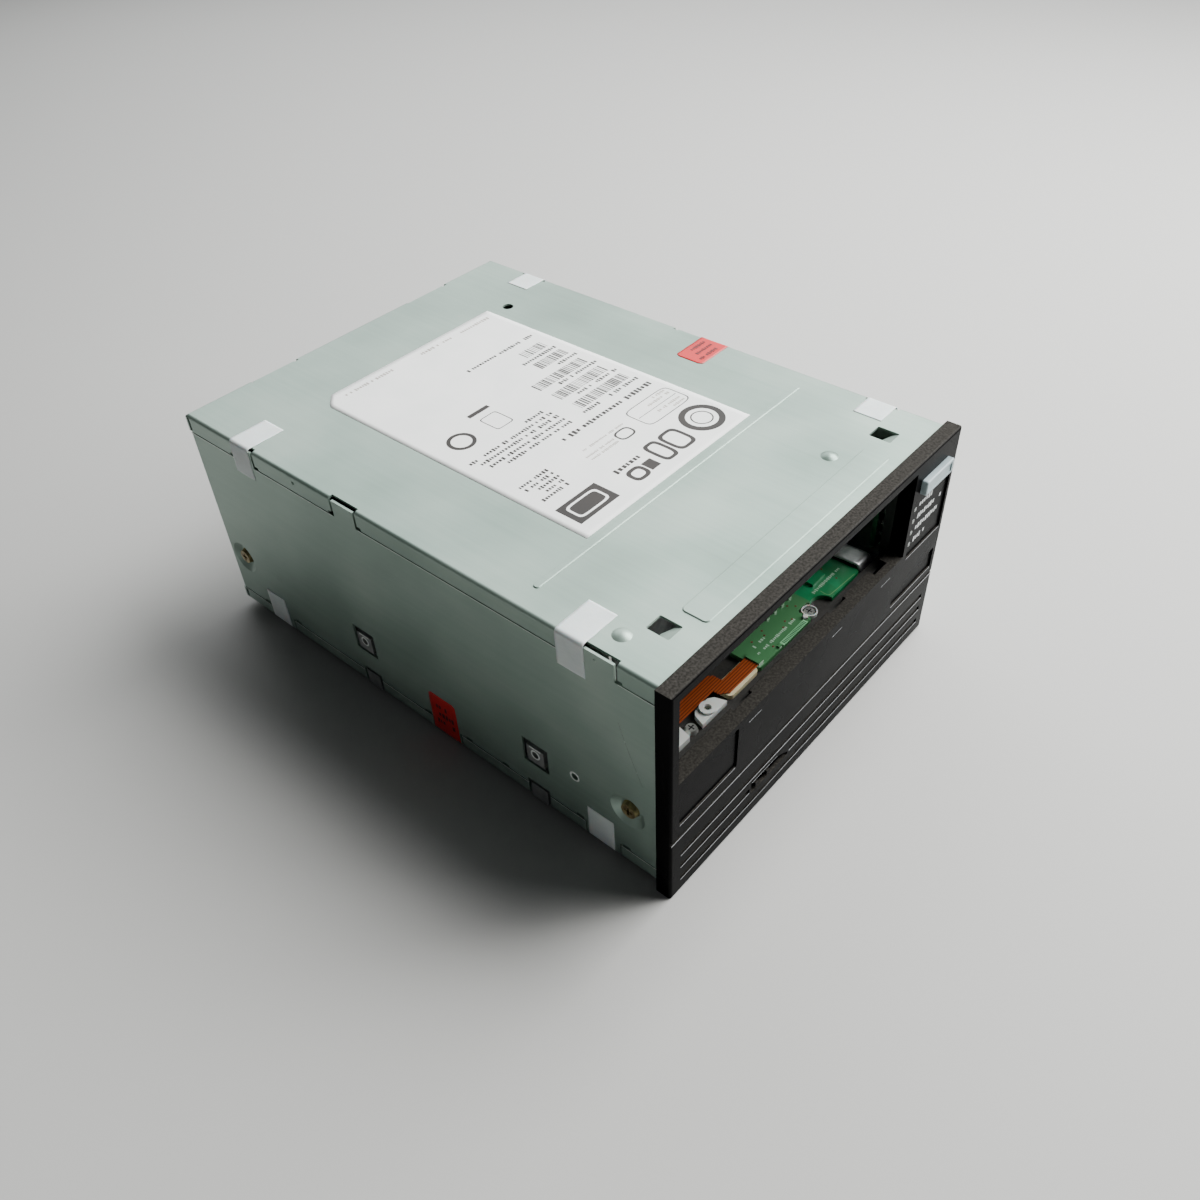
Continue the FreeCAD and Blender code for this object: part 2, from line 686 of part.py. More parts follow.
# ---------------------------------------------------------------- deck
def deck_casting():
    plate = block((-skirt_outer, skirt_outer), (deck_front, deck_rear), (deck_bottom, deck_top))
    plate = rounded(plate, UP, 2.5)
    skirt = block((-skirt_outer, skirt_outer), (deck_front, deck_rear), (foot_height, deck_bottom + 0.1))
    skirt = rounded(skirt, UP, 2.5)
    hollow = rounded(block((-skirt_outer + skirt_wall, skirt_outer - skirt_wall),
                           (deck_front + skirt_wall, deck_rear + 1), (0, deck_bottom)), UP, 2.0)
    hollow = hollow.common(block((-skirt_outer, skirt_outer), (0, deck_rear + 1), (0, deck_bottom)))
    casting = plate.fuse(skirt).cut(hollow)
    front_vent = block((-skirt_outer + 14.0, skirt_outer - 14.0), (0, deck_front + skirt_wall + 0.1),
                       (4.0, deck_bottom - 4.0))
    casting = casting.cut(front_vent)
    added = []
    for side in (-1, 1):
        for row in mount_rows:
            span = (row - lug_width / 2, row + lug_width / 2)
            wide = sorted((side * half_width, side * (skirt_outer - skirt_wall - 2.0)))
            added.append(block(wide, span, (side_hole_height - 4.0, side_hole_height + 3.0)))
            foot = sorted((side * half_width, side * (bottom_hole_spread / 2 - 3.8)))
            added.append(block(foot, span, (0, 6.4)))
        for row in (dish_front, dish_rear):
            near = sorted((side * (skirt_outer - 0.2), side * (skirt_outer - skirt_wall - 3.0)))
            added.append(block(near, (row - 4.0, row + 4.0), (dish_height - 4.0, dish_height + 4.0)))
    for x, y in standoff_places():
        half = standoff_width / 2
        added.append(block((x - half, x + half), (y - half, y + half), (board_top, deck_bottom + 0.1)))
    for row in (shaft_row, carriage_rear + 16.0, deck_rear - 21.0):
        added.append(block((-skirt_outer + 8.0, skirt_outer - 8.0), (row - 0.9, row + 0.9),
                           (deck_bottom - 4.0, deck_bottom + 0.1)))
    casting = joined([casting] + added)
    cuts = []
    for side in (-1, 1):
        inward = RIGHT if side < 0 else vector(-1, 0, 0)
        for row in mount_rows:
            cuts.append(rod((side * half_width, row, side_hole_height), inward, mount_hole_radius,
                            mount_hole_depth))
            cuts.append(rod((side * bottom_hole_spread / 2, row, 0), UP, mount_hole_radius,
                            mount_hole_depth))
        for row in (dish_front, dish_rear):
            cuts.append(rod((side * (skirt_outer + 0.1), row, dish_height), inward,
                            screw_shank_radius + 0.02, screw_shank_length + 1.0))
    for row in (supply_row, take_up_row):
        centre = cartridge_axis if row == supply_row else take_up_axis
        cuts.append(rod((centre, row, deck_bottom - 6.0), UP, 7.0, deck_thickness + 8.0))
    windows = ((carriage_left + 12.0, carriage_left + 24.0, take_up_row - 25.0, take_up_row + 13.0),
               (fan_centre[0] - 21.0, fan_centre[0] - 7.0, deck_rear - 23.0, deck_rear - 9.0),
               (carriage_left + 14.0, carriage_left + 26.0, carriage_front, carriage_front + 20.0))
    for left, right, front, rear in windows:
        cuts.append(rounded(block((left, right), (front, rear), (deck_bottom - 5, deck_top + 1)), UP, 2.0))
    return without(casting, cuts)


def standoff_places():
    """Where the main board is screwed to the deck."""
    reach = main_board_half - 5.0
    rows = (main_board_front + 6.0, main_board_rear - 16.0)
    return [(side * reach, row) for side in (-1, 1) for row in rows]


def shell_screws():
    """Countersunk-dish screws that hold the side walls to the casting."""
    screws = []
    for row in (dish_front, dish_rear):
        face = -half_width + dish_depth - screw_head_height
        end = screw_head_height + screw_shank_length
        profile = [(0, 0), (0, screw_head_radius - 0.5), (screw_head_height, screw_head_radius),
                   (screw_head_height, screw_shank_radius), (end, screw_shank_radius), (end, 0)]
        cross = joined([block((-1, 0.9), (-1.5, 1.5), (-0.35, 0.35)),
                        block((-1, 0.9), (-0.35, 0.35), (-1.5, 1.5))])
        screw = turned(profile, (face, row, dish_height), RIGHT)
        screw = screw.cut(cross.translated(vector(face, row, dish_height)))
        screws += [screw, mirrored(screw)]
    return screws


# ---------------------------------------------------------------- gears
def gear_outline(teeth, phase):
    """Points of a spur gear outline, with flanks that follow the involute of a 20 degree rack."""
    pitch = gear_module * teeth / 2
    base = pitch * math.cos(math.radians(20))
    half_tooth = math.pi / (2 * teeth) - backlash / (2 * pitch)
    involute = math.tan(math.radians(20)) - math.radians(20)
    radii = (pitch - 1.25 * gear_module, pitch - 0.1 * gear_module, pitch + 0.95 * gear_module)

    def half_angle(radius):
        lean = math.acos(min(1.0, base / max(radius, base)))
        return half_tooth + involute - (math.tan(lean) - lean)

    points = []
    for tooth in range(teeth):
        middle = phase + 2 * math.pi * tooth / teeth
        for radius in radii:
            points.append((radius, middle - half_angle(radius)))
        for radius in reversed(radii):
            points.append((radius, middle + half_angle(radius)))
    return points


def spur_gear(teeth, x_range, row, height, phase):
    """A spur gear with its axis along X."""
    points = [vector(x_range[0], row + radius * math.cos(angle), height + radius * math.sin(angle))
              for radius, angle in gear_outline(teeth, phase)]
    return extruded(points, vector(x_range[1] - x_range[0], 0, 0))


def cross_shaft():
    left = cam_left()[0] - 0.4
    right = load_gear_left + gear_width + 1.6
    return rod((left, shaft_row, shaft_height), RIGHT, shaft_radius, right - left)


def cam_left():
    """X range of the left cam plate."""
    outer = carriage_left - cam_gap
    return (outer - cam_plate, outer)


def cam_right():
    """X range of the right cam plate."""
    inner = carriage_right + cam_gap
    return (inner, inner + cam_plate)


def rack_gears():
    """The two gears on the cross shaft that drive the cam plates."""
    quarter = math.pi / 2
    phase = quarter + math.pi / rack_gear_teeth
    gears = []
    for span in (cam_left(), cam_right()):
        gear = spur_gear(rack_gear_teeth, (span[0] - 0.1, span[1] + 0.1), shaft_row, shaft_height, phase)
        bore = rod((span[0] - 1, shaft_row, shaft_height), RIGHT, shaft_radius, cam_plate + 2)
        gears.append(gear.cut(bore))
    return gears


def load_gear():
    """The large gear at the right end of the cross shaft, with its hub."""
    span = (load_gear_left, load_gear_left + gear_width)
    gear = spur_gear(load_gear_teeth, span, shaft_row, shaft_height, 0.0)
    hub = rod((span[0] - 0.8, shaft_row, shaft_height), RIGHT, 3.6, gear_width + 1.6)
    bore = rod((span[0] - 2, shaft_row, shaft_height), RIGHT, shaft_radius, gear_width + 4)
    return without(joined([gear, hub]), [bore])


def motor_pinion():
    span = (load_gear_left - 0.2, load_gear_left + gear_width + 0.2)
    pinion = spur_gear(pinion_teeth, span, motor_row, shaft_height, math.pi / pinion_teeth)
    shaft = rod((span[0] - 0.6, motor_row, shaft_height), RIGHT, 1.0, gear_width + 3.6)
    return joined([pinion, shaft])


def load_motor():
    """A small can motor with its bearing nose, terminals and mounting cradle."""
    start = load_gear_left + gear_width + 1.6
    can = turned([(0, 0), (0, motor_radius - 0.8), (0.8, motor_radius), (motor_length - 0.8, motor_radius),
                  (motor_length, motor_radius - 0.8), (motor_length, 0)],
                 (start, motor_row, shaft_height), RIGHT)
    flats = [block((start - 1, start + motor_length + 1), (motor_row - 20, motor_row + 20), span)
             for span in ((shaft_height + 7.6, shaft_height + 20), (shaft_height - 20, shaft_height - 7.6))]
    nose = tube((start - 0.9, motor_row, shaft_height), RIGHT, 3.0, 1.3, 1.0)
    bore = rod((start - 2, motor_row, shaft_height), RIGHT, 1.3, 4.5)
    return without(joined([can.cut(flats), nose]), [bore])


def motor_cradle():
    """The bracket that stands on the deck and holds the loader's motor."""
    start = load_gear_left + gear_width + 1.9
    plate = block((start + 2.0, start + motor_length - 1.5), (motor_row - 12.5, motor_row + 12.5),
                  (deck_top, shaft_height - 2.0))
    can = rod((start - 1, motor_row, shaft_height), RIGHT, motor_radius + 0.1, motor_length + 4)
    under = (start + 3.4, start + motor_length - 2.9)
    arch = (deck_top, deck_top + 3.5)
    front_arch = block(under, (motor_row - 20, motor_row - 3), arch)
    rear_arch = block(under, (motor_row + 3, motor_row + 20), arch)
    return without(plate, [can, front_arch, rear_arch])


# ---------------------------------------------------------------- loader
def pin_rows():
    return (carriage_front + pin_inset, carriage_rear - pin_inset)


def carriage():
    """The cartridge's cradle: a folded channel with ledges, lead-in lips and guide pins."""
    rear = carriage_rear
    top = carriage_top
    outer = block((carriage_left, carriage_right), (carriage_front, rear), (carriage_floor, top))
    inner = block((carriage_left + carriage_sheet, carriage_right - carriage_sheet),
                  (carriage_front - 1, rear + 1),
                  (carriage_floor + carriage_sheet, top - carriage_sheet))
    ledge_reach = carriage_sheet + ledge_width
    belly = block((carriage_left + ledge_reach, carriage_right - ledge_reach),
                  (carriage_front - 1, rear + 1),
                  (carriage_floor - 1, carriage_floor + carriage_sheet + 1))
    window = rounded(block((carriage_left + 20, carriage_right - 20), (carriage_front + 18, rear - 20),
                           (top - 3, top + 1)), UP, 5.0)
    shell = without(outer, [inner, belly, window])
    for side in (carriage_left, carriage_right - carriage_sheet):
        cut = rounded(block((side - 1, side + carriage_sheet + 1), (carriage_front + 28, rear - 28),
                            (carriage_floor + 7, top - 7)), RIGHT, 3.0)
        shell = shell.cut(cut)
    pins = []
    reach = cam_gap + cam_plate + frame_gap + frame_plate - 0.1
    for row in pin_rows():
        pins.append(rod((carriage_left - reach, row, pin_height), RIGHT, pin_radius, reach + 0.1))
        pins.append(rod((carriage_right - 0.1, row, pin_height), RIGHT, pin_radius, reach + 0.1))
    return joined([shell] + pins)


def cam(span):
    """A sliding plate with slanted slots over the carriage's pins and a rack along its foot."""
    front = carriage_front + 2.0
    rear = shaft_row + 5.0
    low = rack_line + 0.95 * gear_module
    top = pin_height + 7.0
    plate = block(span, (front, rear), (low + 1.0, top))
    slot_reach = pin_radius + pin_clearance + cam_window_margin
    window_rows = (pin_rows()[0] + slot_reach, pin_rows()[1] - cam_travel - slot_reach)
    window = rounded(block((span[0] - 1, span[1] + 1), window_rows, (low + 4.6, top - 4)), RIGHT, 1.8)
    plate = plate.cut(window)
    slots = []
    radius = pin_radius + pin_clearance
    for row in pin_rows():
        start = vector(span[0] - 1, row, pin_height)
        stop = vector(span[0] - 1, row - cam_travel, pin_height - carriage_drop)
        slots.append(straight_slot(start, stop, radius, cam_plate + 2))
    plate = without(plate, slots)
    return joined([plate, rack(span, low)])


def straight_slot(start, stop, radius, length):
    """A round-ended slot cut along X between two points."""
    along = stop.sub(start)
    side = vector(0, -along.z, along.y).normalize() * radius
    middle = extruded([start.add(side), stop.add(side), stop.sub(side), start.sub(side)],
                      vector(length, 0, 0))
    ends = [Part.makeCylinder(radius, length, point, RIGHT) for point in (start, stop)]
    return middle.fuse(ends).removeSplitter()


def rack(span, low):
    """Rack teeth that point down at the cross shaft, one of them over its centre line."""
    pitch = math.pi * gear_module
    ahead = int(4.0 / pitch)
    behind = int((cam_travel + 6.0) / pitch)
    half_root = pitch / 4 + 0.95 * gear_module * math.tan(math.radians(20)) - backlash / 2
    half_tip = pitch / 4 - 0.95 * gear_module * math.tan(math.radians(20)) - backlash / 2
    tip = rack_line - 0.95 * gear_module
    first = shaft_row - behind * pitch - pitch / 2
    last = shaft_row + ahead * pitch + pitch / 2
    teeth = [block(span, (first, last), (low, low + 1.1))]
    for index in range(-behind, ahead + 1):
        row = shaft_row + index * pitch
        teeth.append(extruded([vector(span[0], row - half_root, low + 0.05),
                               vector(span[0], row - half_tip, tip),
                               vector(span[0], row + half_tip, tip),
                               vector(span[0], row + half_root, low + 0.05)],
                              vector(span[1] - span[0], 0, 0)))
    return joined(teeth)


def loader_frame():
    """The fixed cage round the carriage: two side plates with upright slots, tied across the top."""
    rear = frame_rear
    left_inner = cam_left()[0] - frame_gap
    right_inner = cam_right()[1] + frame_gap
    plates = []
    for span in ((left_inner - frame_plate, left_inner), (right_inner, right_inner + frame_plate)):
        plate = block(span, (frame_front, rear), (deck_top, frame_top))
        cuts = []
        for row in pin_rows():
            start = vector(span[0] - 1, row, pin_height)
            stop = vector(span[0] - 1, row, pin_height - carriage_drop)
            cuts.append(straight_slot(start, stop, pin_radius + pin_clearance, frame_plate + 2))
        cuts.append(rod((span[0] - 1, shaft_row, shaft_height), RIGHT, shaft_radius + 0.05,
                        frame_plate + 2))
        cuts.append(rounded(block((span[0] - 1, span[1] + 1), (frame_front + 22, shaft_row - 16),
                                  (deck_top + 6, pin_height - 14)), RIGHT, 3.0))
        plates.append(without(plate, cuts))
    ties = []
    for low, high in ((frame_front, frame_front + 9.0), (rear - 12.0, rear)):
        ties.append(block((left_inner - frame_plate, right_inner + frame_plate), (low, high),
                          (frame_top - frame_plate, frame_top)))
    feet = []
    for row in (frame_front + 3.0, rear - 11.0):
        feet.append(block((left_inner - frame_plate, left_inner + foot_reach), (row, row + 8.0),
                          (deck_top, deck_top + frame_plate)))
        feet.append(block((right_inner, right_inner + frame_plate + foot_reach), (row, row + 8.0),
                          (deck_top, deck_top + frame_plate)))
    return joined(plates + ties + feet)


def hex_head(x, y, foot, height):
    """A small hexagonal screw head."""
    corners = [math.radians(60 * corner) for corner in range(6)]
    return extruded([vector(x + hex_radius * math.cos(corner), y + hex_radius * math.sin(corner), foot)
                     for corner in corners], vector(0, 0, height))


def frame_screws():
    """Heads of the four screws that hold the loader frame's feet to the deck."""
    rear = frame_rear
    left_inner = cam_left()[0] - frame_gap
    right_inner = cam_right()[1] + frame_gap
    screws = []
    for row in (frame_front + 7.0, rear - 7.0):
        for x in (left_inner + foot_reach / 2, right_inner + frame_plate + foot_reach / 2):
            screws.append(hex_head(x, row, deck_top + frame_plate, 1.4))
    return screws


def pan_screw(x, y, seat):
    """A small pan-head screw head, seated on a flat face."""
    return turned([(0, 0), (0, 2.1), (1.2, 1.6), (1.2, 0)], (x, y, seat), UP)


# ---------------------------------------------------------------- reel drives
def reel_motor(centre, row):
    """A flat brushless motor: base flange, can and bearing nose."""
    profile = [(0, 7.6), (0, motor_can_radius), (motor_can_height - 1.6, motor_can_radius),
               (motor_can_height, motor_can_radius - 2.2), (motor_can_height, 8.4),
               (motor_can_height + 1.2, 8.4), (motor_can_height + 1.2, 7.6)]
    return turned(profile, (centre, row, deck_top), UP)


def supply_spindle():
    """The clutch hub that engages the cartridge's reel, with a ring of face teeth."""
    base = motor_can_height + 1.2 + air_gap
    crown = spindle_top - deck_top
    profile = [(0.5, 0), (0.5, 7.55), (base, 7.55), (base, spindle_radius), (crown - 2.6, spindle_radius),
               (crown - 1.6, spindle_radius - 1.0), (crown - 1.6, spindle_radius - 5.0),
               (crown - 2.8, spindle_radius - 6.0), (crown - 2.8, 4.0), (crown - 1.0, 2.6),
               (crown - 1.0, 0)]
    hub = turned(profile, (cartridge_axis, supply_row, deck_top), UP)
    teeth = []
    inner = spindle_radius - 4.6
    outer = spindle_radius - 1.4
    for index in range(spindle_teeth):
        angle = 360.0 / spindle_teeth
        half = math.pi * inner / spindle_teeth * 0.8
        foot = deck_top + crown - 1.7
        tooth = extruded([vector(inner, -half, foot), vector(inner, 0, spindle_top),
                          vector(inner, half, foot)], vector(outer - inner, 0, 0))
        tooth.rotate(vector(0, 0, 0), UP, angle * index)
        teeth.append(tooth.translated(vector(cartridge_axis, supply_row, 0)))
    return joined([hub] + teeth)


def take_up_reel():
    """The machine reel: hub and lower flange in one, with lightening holes and a leader slot."""
    base = reel_bottom - deck_top
    top = base + reel_height - reel_flange
    profile = [(0.5, 0), (0.5, 7.55), (base, 7.55), (base, reel_radius),
               (base + reel_flange, reel_radius - 0.3), (base + reel_flange, reel_hub_radius),
               (top, reel_hub_radius), (top, reel_hub_radius - 3.0),
               (base + reel_flange + 3.0, reel_hub_radius - 3.0), (base + reel_flange + 3.0, 0)]
    reel = turned(profile, (take_up_axis, take_up_row, deck_top), UP)
    slot = block((take_up_axis + reel_hub_radius - 5.0, take_up_axis + reel_hub_radius + 1.0),
                 (take_up_row - 2.0, take_up_row + 2.0),
                 (reel_bottom + reel_flange, reel_bottom + reel_height))
    return reel.cut(slot)


def take_up_flange():
    """The reel's upper flange, cut out into spokes."""
    seat = reel_bottom + reel_height - reel_flange
    centre = (take_up_axis, take_up_row, seat)
    disc = rod(centre, UP, reel_radius, reel_flange)
    well = rod(centre, UP, reel_hub_radius - 8.0, reel_flange)
    windows = []
    ring = tube(centre, UP, reel_radius - 2.6, reel_hub_radius + 1.4, reel_flange)
    spokes = []
    for index in range(reel_spokes):
        bar = block((0, reel_radius), (-3.0, 3.0), (seat, seat + reel_flange))
        bar.rotate(vector(0, 0, 0), UP, 360.0 / reel_spokes * index)
        spokes.append(bar.translated(vector(take_up_axis, take_up_row, 0)))
    windows.append(ring.cut(spokes))
    return without(disc, [well] + windows)


# ---------------------------------------------------------------- tape path
def roller_posts():
    """Turned steel posts on the deck: a stout foot, the rollers' pin and a retaining cap."""
    foot = roller_bottom - 2.0 - deck_top
    top = roller_bottom + tape_width + 2.6 - deck_top
    profile = [(0, 0), (0, 4.4), (foot, 4.4), (foot, roller_post_radius), (top, roller_post_radius),
               (top, 2.8), (top + 0.8, 2.8), (top + 0.8, 0)]
    return [turned(profile, (x, y, deck_top), UP) for x, y in roller_places]


def guide_roller(place):
    """A flanged tape roller with a waist between its flanges."""
    length = tape_width + 2.4
    bore = roller_post_radius + roller_bore_gap
    profile = [(0, bore), (0, roller_flange_radius), (1.2, roller_radius), (length - 1.2, roller_radius),
               (length, roller_flange_radius), (length, bore)]
    return turned(profile, (place[0], place[1], roller_bottom), UP)


def head_base():
    """The stand of the head: a foot, an upright back and two guide rods."""
    rear = head_x + 8.0
    rows = (head_row - 5.2, head_row + 5.2)
    low = (head_stand - head_shelf, head_stand)
    foot = block((head_x - 3.0, rear), (head_row - 9.5, head_row + 9.5), (deck_top, deck_top + 3.0))
    back = block((head_x + 5.0, rear), rows, (deck_top, head_stand + head_rise + head_shelf))
    shelf_low = block((head_x - 1.0, rear), rows, low)
    ear_reach = rod_spread / 2 + 2
    ear_low = block((head_x + 0.6, head_x + 5.1), (head_row - ear_reach, head_row + ear_reach), low)
    shelf_high = shelf_low.translated(vector(0, 0, head_rise))
    ear_high = ear_low.translated(vector(0, 0, head_rise))
    rod_foot = head_stand - head_rod_inset
    rods = [rod((head_x + 2.6, head_row + side * rod_spread / 2, rod_foot), UP, rod_radius,
                head_rise - head_shelf + 2 * head_rod_inset)
            for side in (-1, 1)]
    return joined([foot, back, shelf_low, shelf_high, ear_low, ear_high] + rods)


def head_block():
    """The head: a lapped crown with two ridges, on a carrier that slides on the rods."""
    low = roller_bottom + 1.2
    high = low + tape_width
    crown = [vector(head_x - 1.0, head_row - head_width / 2, low)]
    crown.append(vector(head_x - 4.0, head_row - head_width / 2 + 1.2, low))
    crown.append(vector(head_x - 4.0, head_row - 0.9, low))
    crown.append(vector(head_x - 3.4, head_row - 0.6, low))
    crown.append(vector(head_x - 3.4, head_row + 0.6, low))
    crown.append(vector(head_x - 4.0, head_row + 0.9, low))
    crown.append(vector(head_x - 4.0, head_row + head_width / 2 - 1.2, low))
    crown.append(vector(head_x - 1.0, head_row + head_width / 2, low))
    face = extruded(crown, vector(0, 0, tape_width))
    reach = rod_spread / 2 + 2.2
    carrier = block((head_x - 1.05, head_x + 4.4), (head_row - reach, head_row + reach), (low, high))
    relief = block((head_x - 2, head_x + 0.6), (head_row + head_width / 2 + 0.4, head_row + reach + 1),
                   (low - 1, high + 1))
    bores = [rod((head_x + 2.6, head_row + side * rod_spread / 2, low - 1), UP, rod_radius + 0.05,
                 tape_width + 2) for side in (-1, 1)]
    mirror_relief = relief.mirror(vector(0, head_row, 0), REAR)
    return without(joined([face, carrier]), bores + [relief, mirror_relief])


def head_coil():
    """The voice coil under the head that drives it up and down."""
    high = roller_bottom + 1.2
    low = head_stand + head_travel + 0.2
    return tube((head_x + 1.4, head_row, low), UP, 3.0, 2.2, high - low)


def head_magnet():
    """The fixed magnet core that stands inside the voice coil."""
    high = roller_bottom + 1.2 - head_travel - 0.4
    return rod((head_x + 1.4, head_row, head_stand), UP, 1.8, high - head_stand)


def threader_arm():
    """The arm that carries the tape's leader from the cartridge to the take-up reel."""
    angle = math.radians(arm_rest_angle)
    x, y = arm_pivot
    tip = vector(x + arm_radius * math.cos(angle), y + arm_radius * math.sin(angle), arm_height)
    along = vector(math.cos(angle), math.sin(angle), 0)
    side = vector(-along.y, along.x, 0)
    root = vector(x, y, arm_height)
    web = extruded([root.add(side * 3.6), tip.add(side * 2.0), tip.sub(side * 2.0), root.sub(side * 3.6)],
                   vector(0, 0, arm_thickness))
    boss = rod((x, y, arm_height - 5.6), UP, 4.6, arm_thickness + 5.6)
    end = rod((tip.x, tip.y, arm_height), UP, 2.6, arm_thickness)
    grip = rod((tip.x, tip.y, roller_bottom + 1.0), UP, 1.3, arm_height - roller_bottom - 0.9)
    jaw = rod((tip.x, tip.y, roller_bottom + 1.0), UP, 2.2, 1.2)
    bore = rod((x, y, arm_height - 8.0), UP, arm_pin_radius + arm_bore_gap, 14.0)
    return joined([web, boss, end, grip, jaw]).cut(bore)


def arm_pin():
    """The turned steel post on which the threading arm swings."""
    x, y = arm_pivot
    foot = arm_height - 6.1 - deck_top
    top = arm_height + arm_thickness + 0.3 - deck_top
    profile = [(0, 0), (0, 4.2), (foot, 4.2), (foot, arm_pin_radius), (top, arm_pin_radius), (top, 2.6),
               (top + 0.8, 2.6), (top + 0.8, 0)]
    return turned(profile, (x, y, deck_top), UP)


# ---------------------------------------------------------------- front shelf
def front_shelf():
    """The shelf under the cartridge slot, standing on the deck."""
    low = shelf_top - shelf_thickness
    right = carriage_right + 1.2
    plate = block((-skirt_outer + 1.2, right), (shelf_front, shelf_rear), (low, shelf_top))
    legs = []
    for left, wide in ((-skirt_outer + 6.2, 8.0), (front_board_left - 4.0, 6.0), (right - 8.0, 8.0)):
        legs.append(block((left, left + wide), (deck_front + 2.0, shelf_rear), (deck_top, low + 0.1)))
    bosses = [rod((x, y, shelf_top - 0.1), UP, 1.9, 0.2) for x, y in front_screw_places()]
    support = block((-skirt_outer + 1.4, -skirt_outer + 6.0), (9.4, 14.2), (shelf_top - 0.1, 44.6))
    return joined([plate] + legs + bosses + [support])


def front_screw_places():
    return ((slot_left + 20.4, 6.0), (slot_right - 36.6, 6.2))


def front_board():
    """The green board on the shelf, with a half-round notch in its front edge."""
    plate = block((front_board_left, front_board_right), (shelf_front + 0.2, front_board_rear),
                  (shelf_top + 0.1, shelf_top + 0.1 + board_thickness))
    plate = rounded(plate, UP, 0.8)
    screw_x, screw_y = front_screw_places()[1]
    notch = rod((screw_x + 4.6, shelf_front + 0.2, shelf_top - 1), UP, 4.6, 5)
    room = block((screw_x - 3.0, screw_x + 2.8), (shelf_front - 1, screw_y + 2.6),
                 (shelf_top - 1, shelf_top + 5))
    return without(plate, [notch, rounded(room, UP, 1.2)])


def front_board_parts():
    """Parts on the front board: a connector strip, the flex's socket and a chip."""
    top = shelf_top + 0.1 + board_thickness
    strip = block((front_board_left + 10.4, front_board_left + 24.6),
                  (shelf_front + 0.4, shelf_front + 1.5), (top, top + 0.5))
    socket = block((front_board_left + 0.6, front_board_left + 3.0), (4.6, 9.6), (top, top + 0.9))
    chip = block((front_board_right - 16.0, front_board_right - 9.0), (11.0, 15.6), (top, top + 1.0))
    caps = [block((front_board_left + 18.0 + 4.0 * cap, front_board_left + 19.6 + 4.0 * cap), (13.6, 14.4),
                  (top, top + 0.7)) for cap in range(4)]
    return [strip, socket, chip] + caps


def front_flex():
    """The flat flexible circuit that crosses the shelf and jogs forward to the board."""
    top = shelf_top + 0.1 + board_thickness
    low = top + 0.1
    left = -skirt_outer + 1.4
    joint = front_board_left + 0.5
    outline = [(left, 9.0), (left, 14.0), (joint - 13.1, 14.0), (joint - 11.7, 12.6), (joint - 11.7, 9.6),
               (joint, 9.6), (joint, 4.8), (joint - 14.1, 4.8), (joint - 16.7, 7.0), (joint - 16.7, 9.0)]
    return extruded([vector(x, y, low) for x, y in outline], vector(0, 0, 0.3))


def flex_stiffener():
    """The beige backing under the flex, where it joins the board."""
    body = block((front_board_left - 14.6, front_board_left - 0.4), (shelf_front + 0.3, 10.0),
                 (shelf_top, shelf_top + 1.6))
    return rounded(body, UP, 1.4)


def guide_clamp():
    """The white moulded clamp with a ring boss, rounded at its rear."""
    low = shelf_top
    outline = [(-5.6, shelf_front + 0.2), (-4.2, 7.6), (-2.6, 8.6), (3.2, 8.6), (4.8, 7.4),
               (6.0, shelf_front + 0.2)]
    centre = slot_left + 28.4
    plate = extruded([vector(centre + x, y, low) for x, y in outline], vector(0, 0, 1.9))
    boss = rod((centre, 6.2, low), UP, 2.5, 2.7)
    bore = rod((centre, 6.2, low + 0.4), UP, 1.15, 4)
    return joined([plate, boss]).cut(bore)


def corner_wedge():
    """The white ramp in the shelf's left corner that guides the cartridge in."""
    left = -skirt_outer + 1.4
    outline = [(left, shelf_front + 0.2), (left + 14.7, shelf_front + 0.2), (left + 15.7, 8.4),
               (left + 12.3, 8.4)]
    return extruded([vector(x, y, shelf_top) for x, y in outline], vector(0, 0, 2.4))


def slot_bracket():
    """The bright bent strip at the right of the shelf, turned up at its front."""
    left = front_board_right + 1.4
    right = carriage_right - 1.0
    lip = shelf_front + 0.4
    rear = shelf_rear - 0.4
    profile = [(lip, 3.6), (lip + 0.9, 3.6), (lip + 2.6, 0.9), (rear, 0.9), (rear, 0), (lip + 2.0, 0),
               (lip, 3.0)]
    return extruded([vector(left, row, shelf_top + rise) for row, rise in profile],
                    vector(right - left, 0, 0))


def front_screws():
    return [pan_screw(x, y, shelf_top + 0.1) for x, y in front_screw_places()]


# ---------------------------------------------------------------- electronics
def main_board():
    board = block((-main_board_half, main_board_half), (main_board_front, main_board_rear),
                  (main_board_height, board_top))
    return rounded(board, UP, 1.5)


def board_screws():
    """Heads of the screws that hold the main board up against the deck's pillars."""
    screws = []
    for x, y in standoff_places():
        screws.append(hex_head(x, y, main_board_height - 1.6, 1.6))
    return screws


def board_chips():
    """Packages on the board's upper side, in a grid over the middle of the board."""
    sizes = ((12, 16, 1.6), (18, 18, 1.8), (14, 20, 1.4), (22, 22, 2.2),
             (10, 12, 3.0), (16, 16, 2.0), (14, 14, 2.0), (20, 14, 1.8))
    column_pitch = (2 * main_board_half - 24.0) / 4
    row_pitch = (main_board_rear - main_board_front - 60.0) / 2
    chips = []
    for index, (wide, deep, tall) in enumerate(sizes):
        x = -main_board_half + 12.0 + column_pitch * (index % 4 + 0.5)
        y = main_board_front + 20.0 + row_pitch * (index // 4 + 0.5)
        chips.append(block((x - wide / 2, x + wide / 2), (y - deep / 2, y + deep / 2),
                           (board_top, board_top + tall)))
    return chips


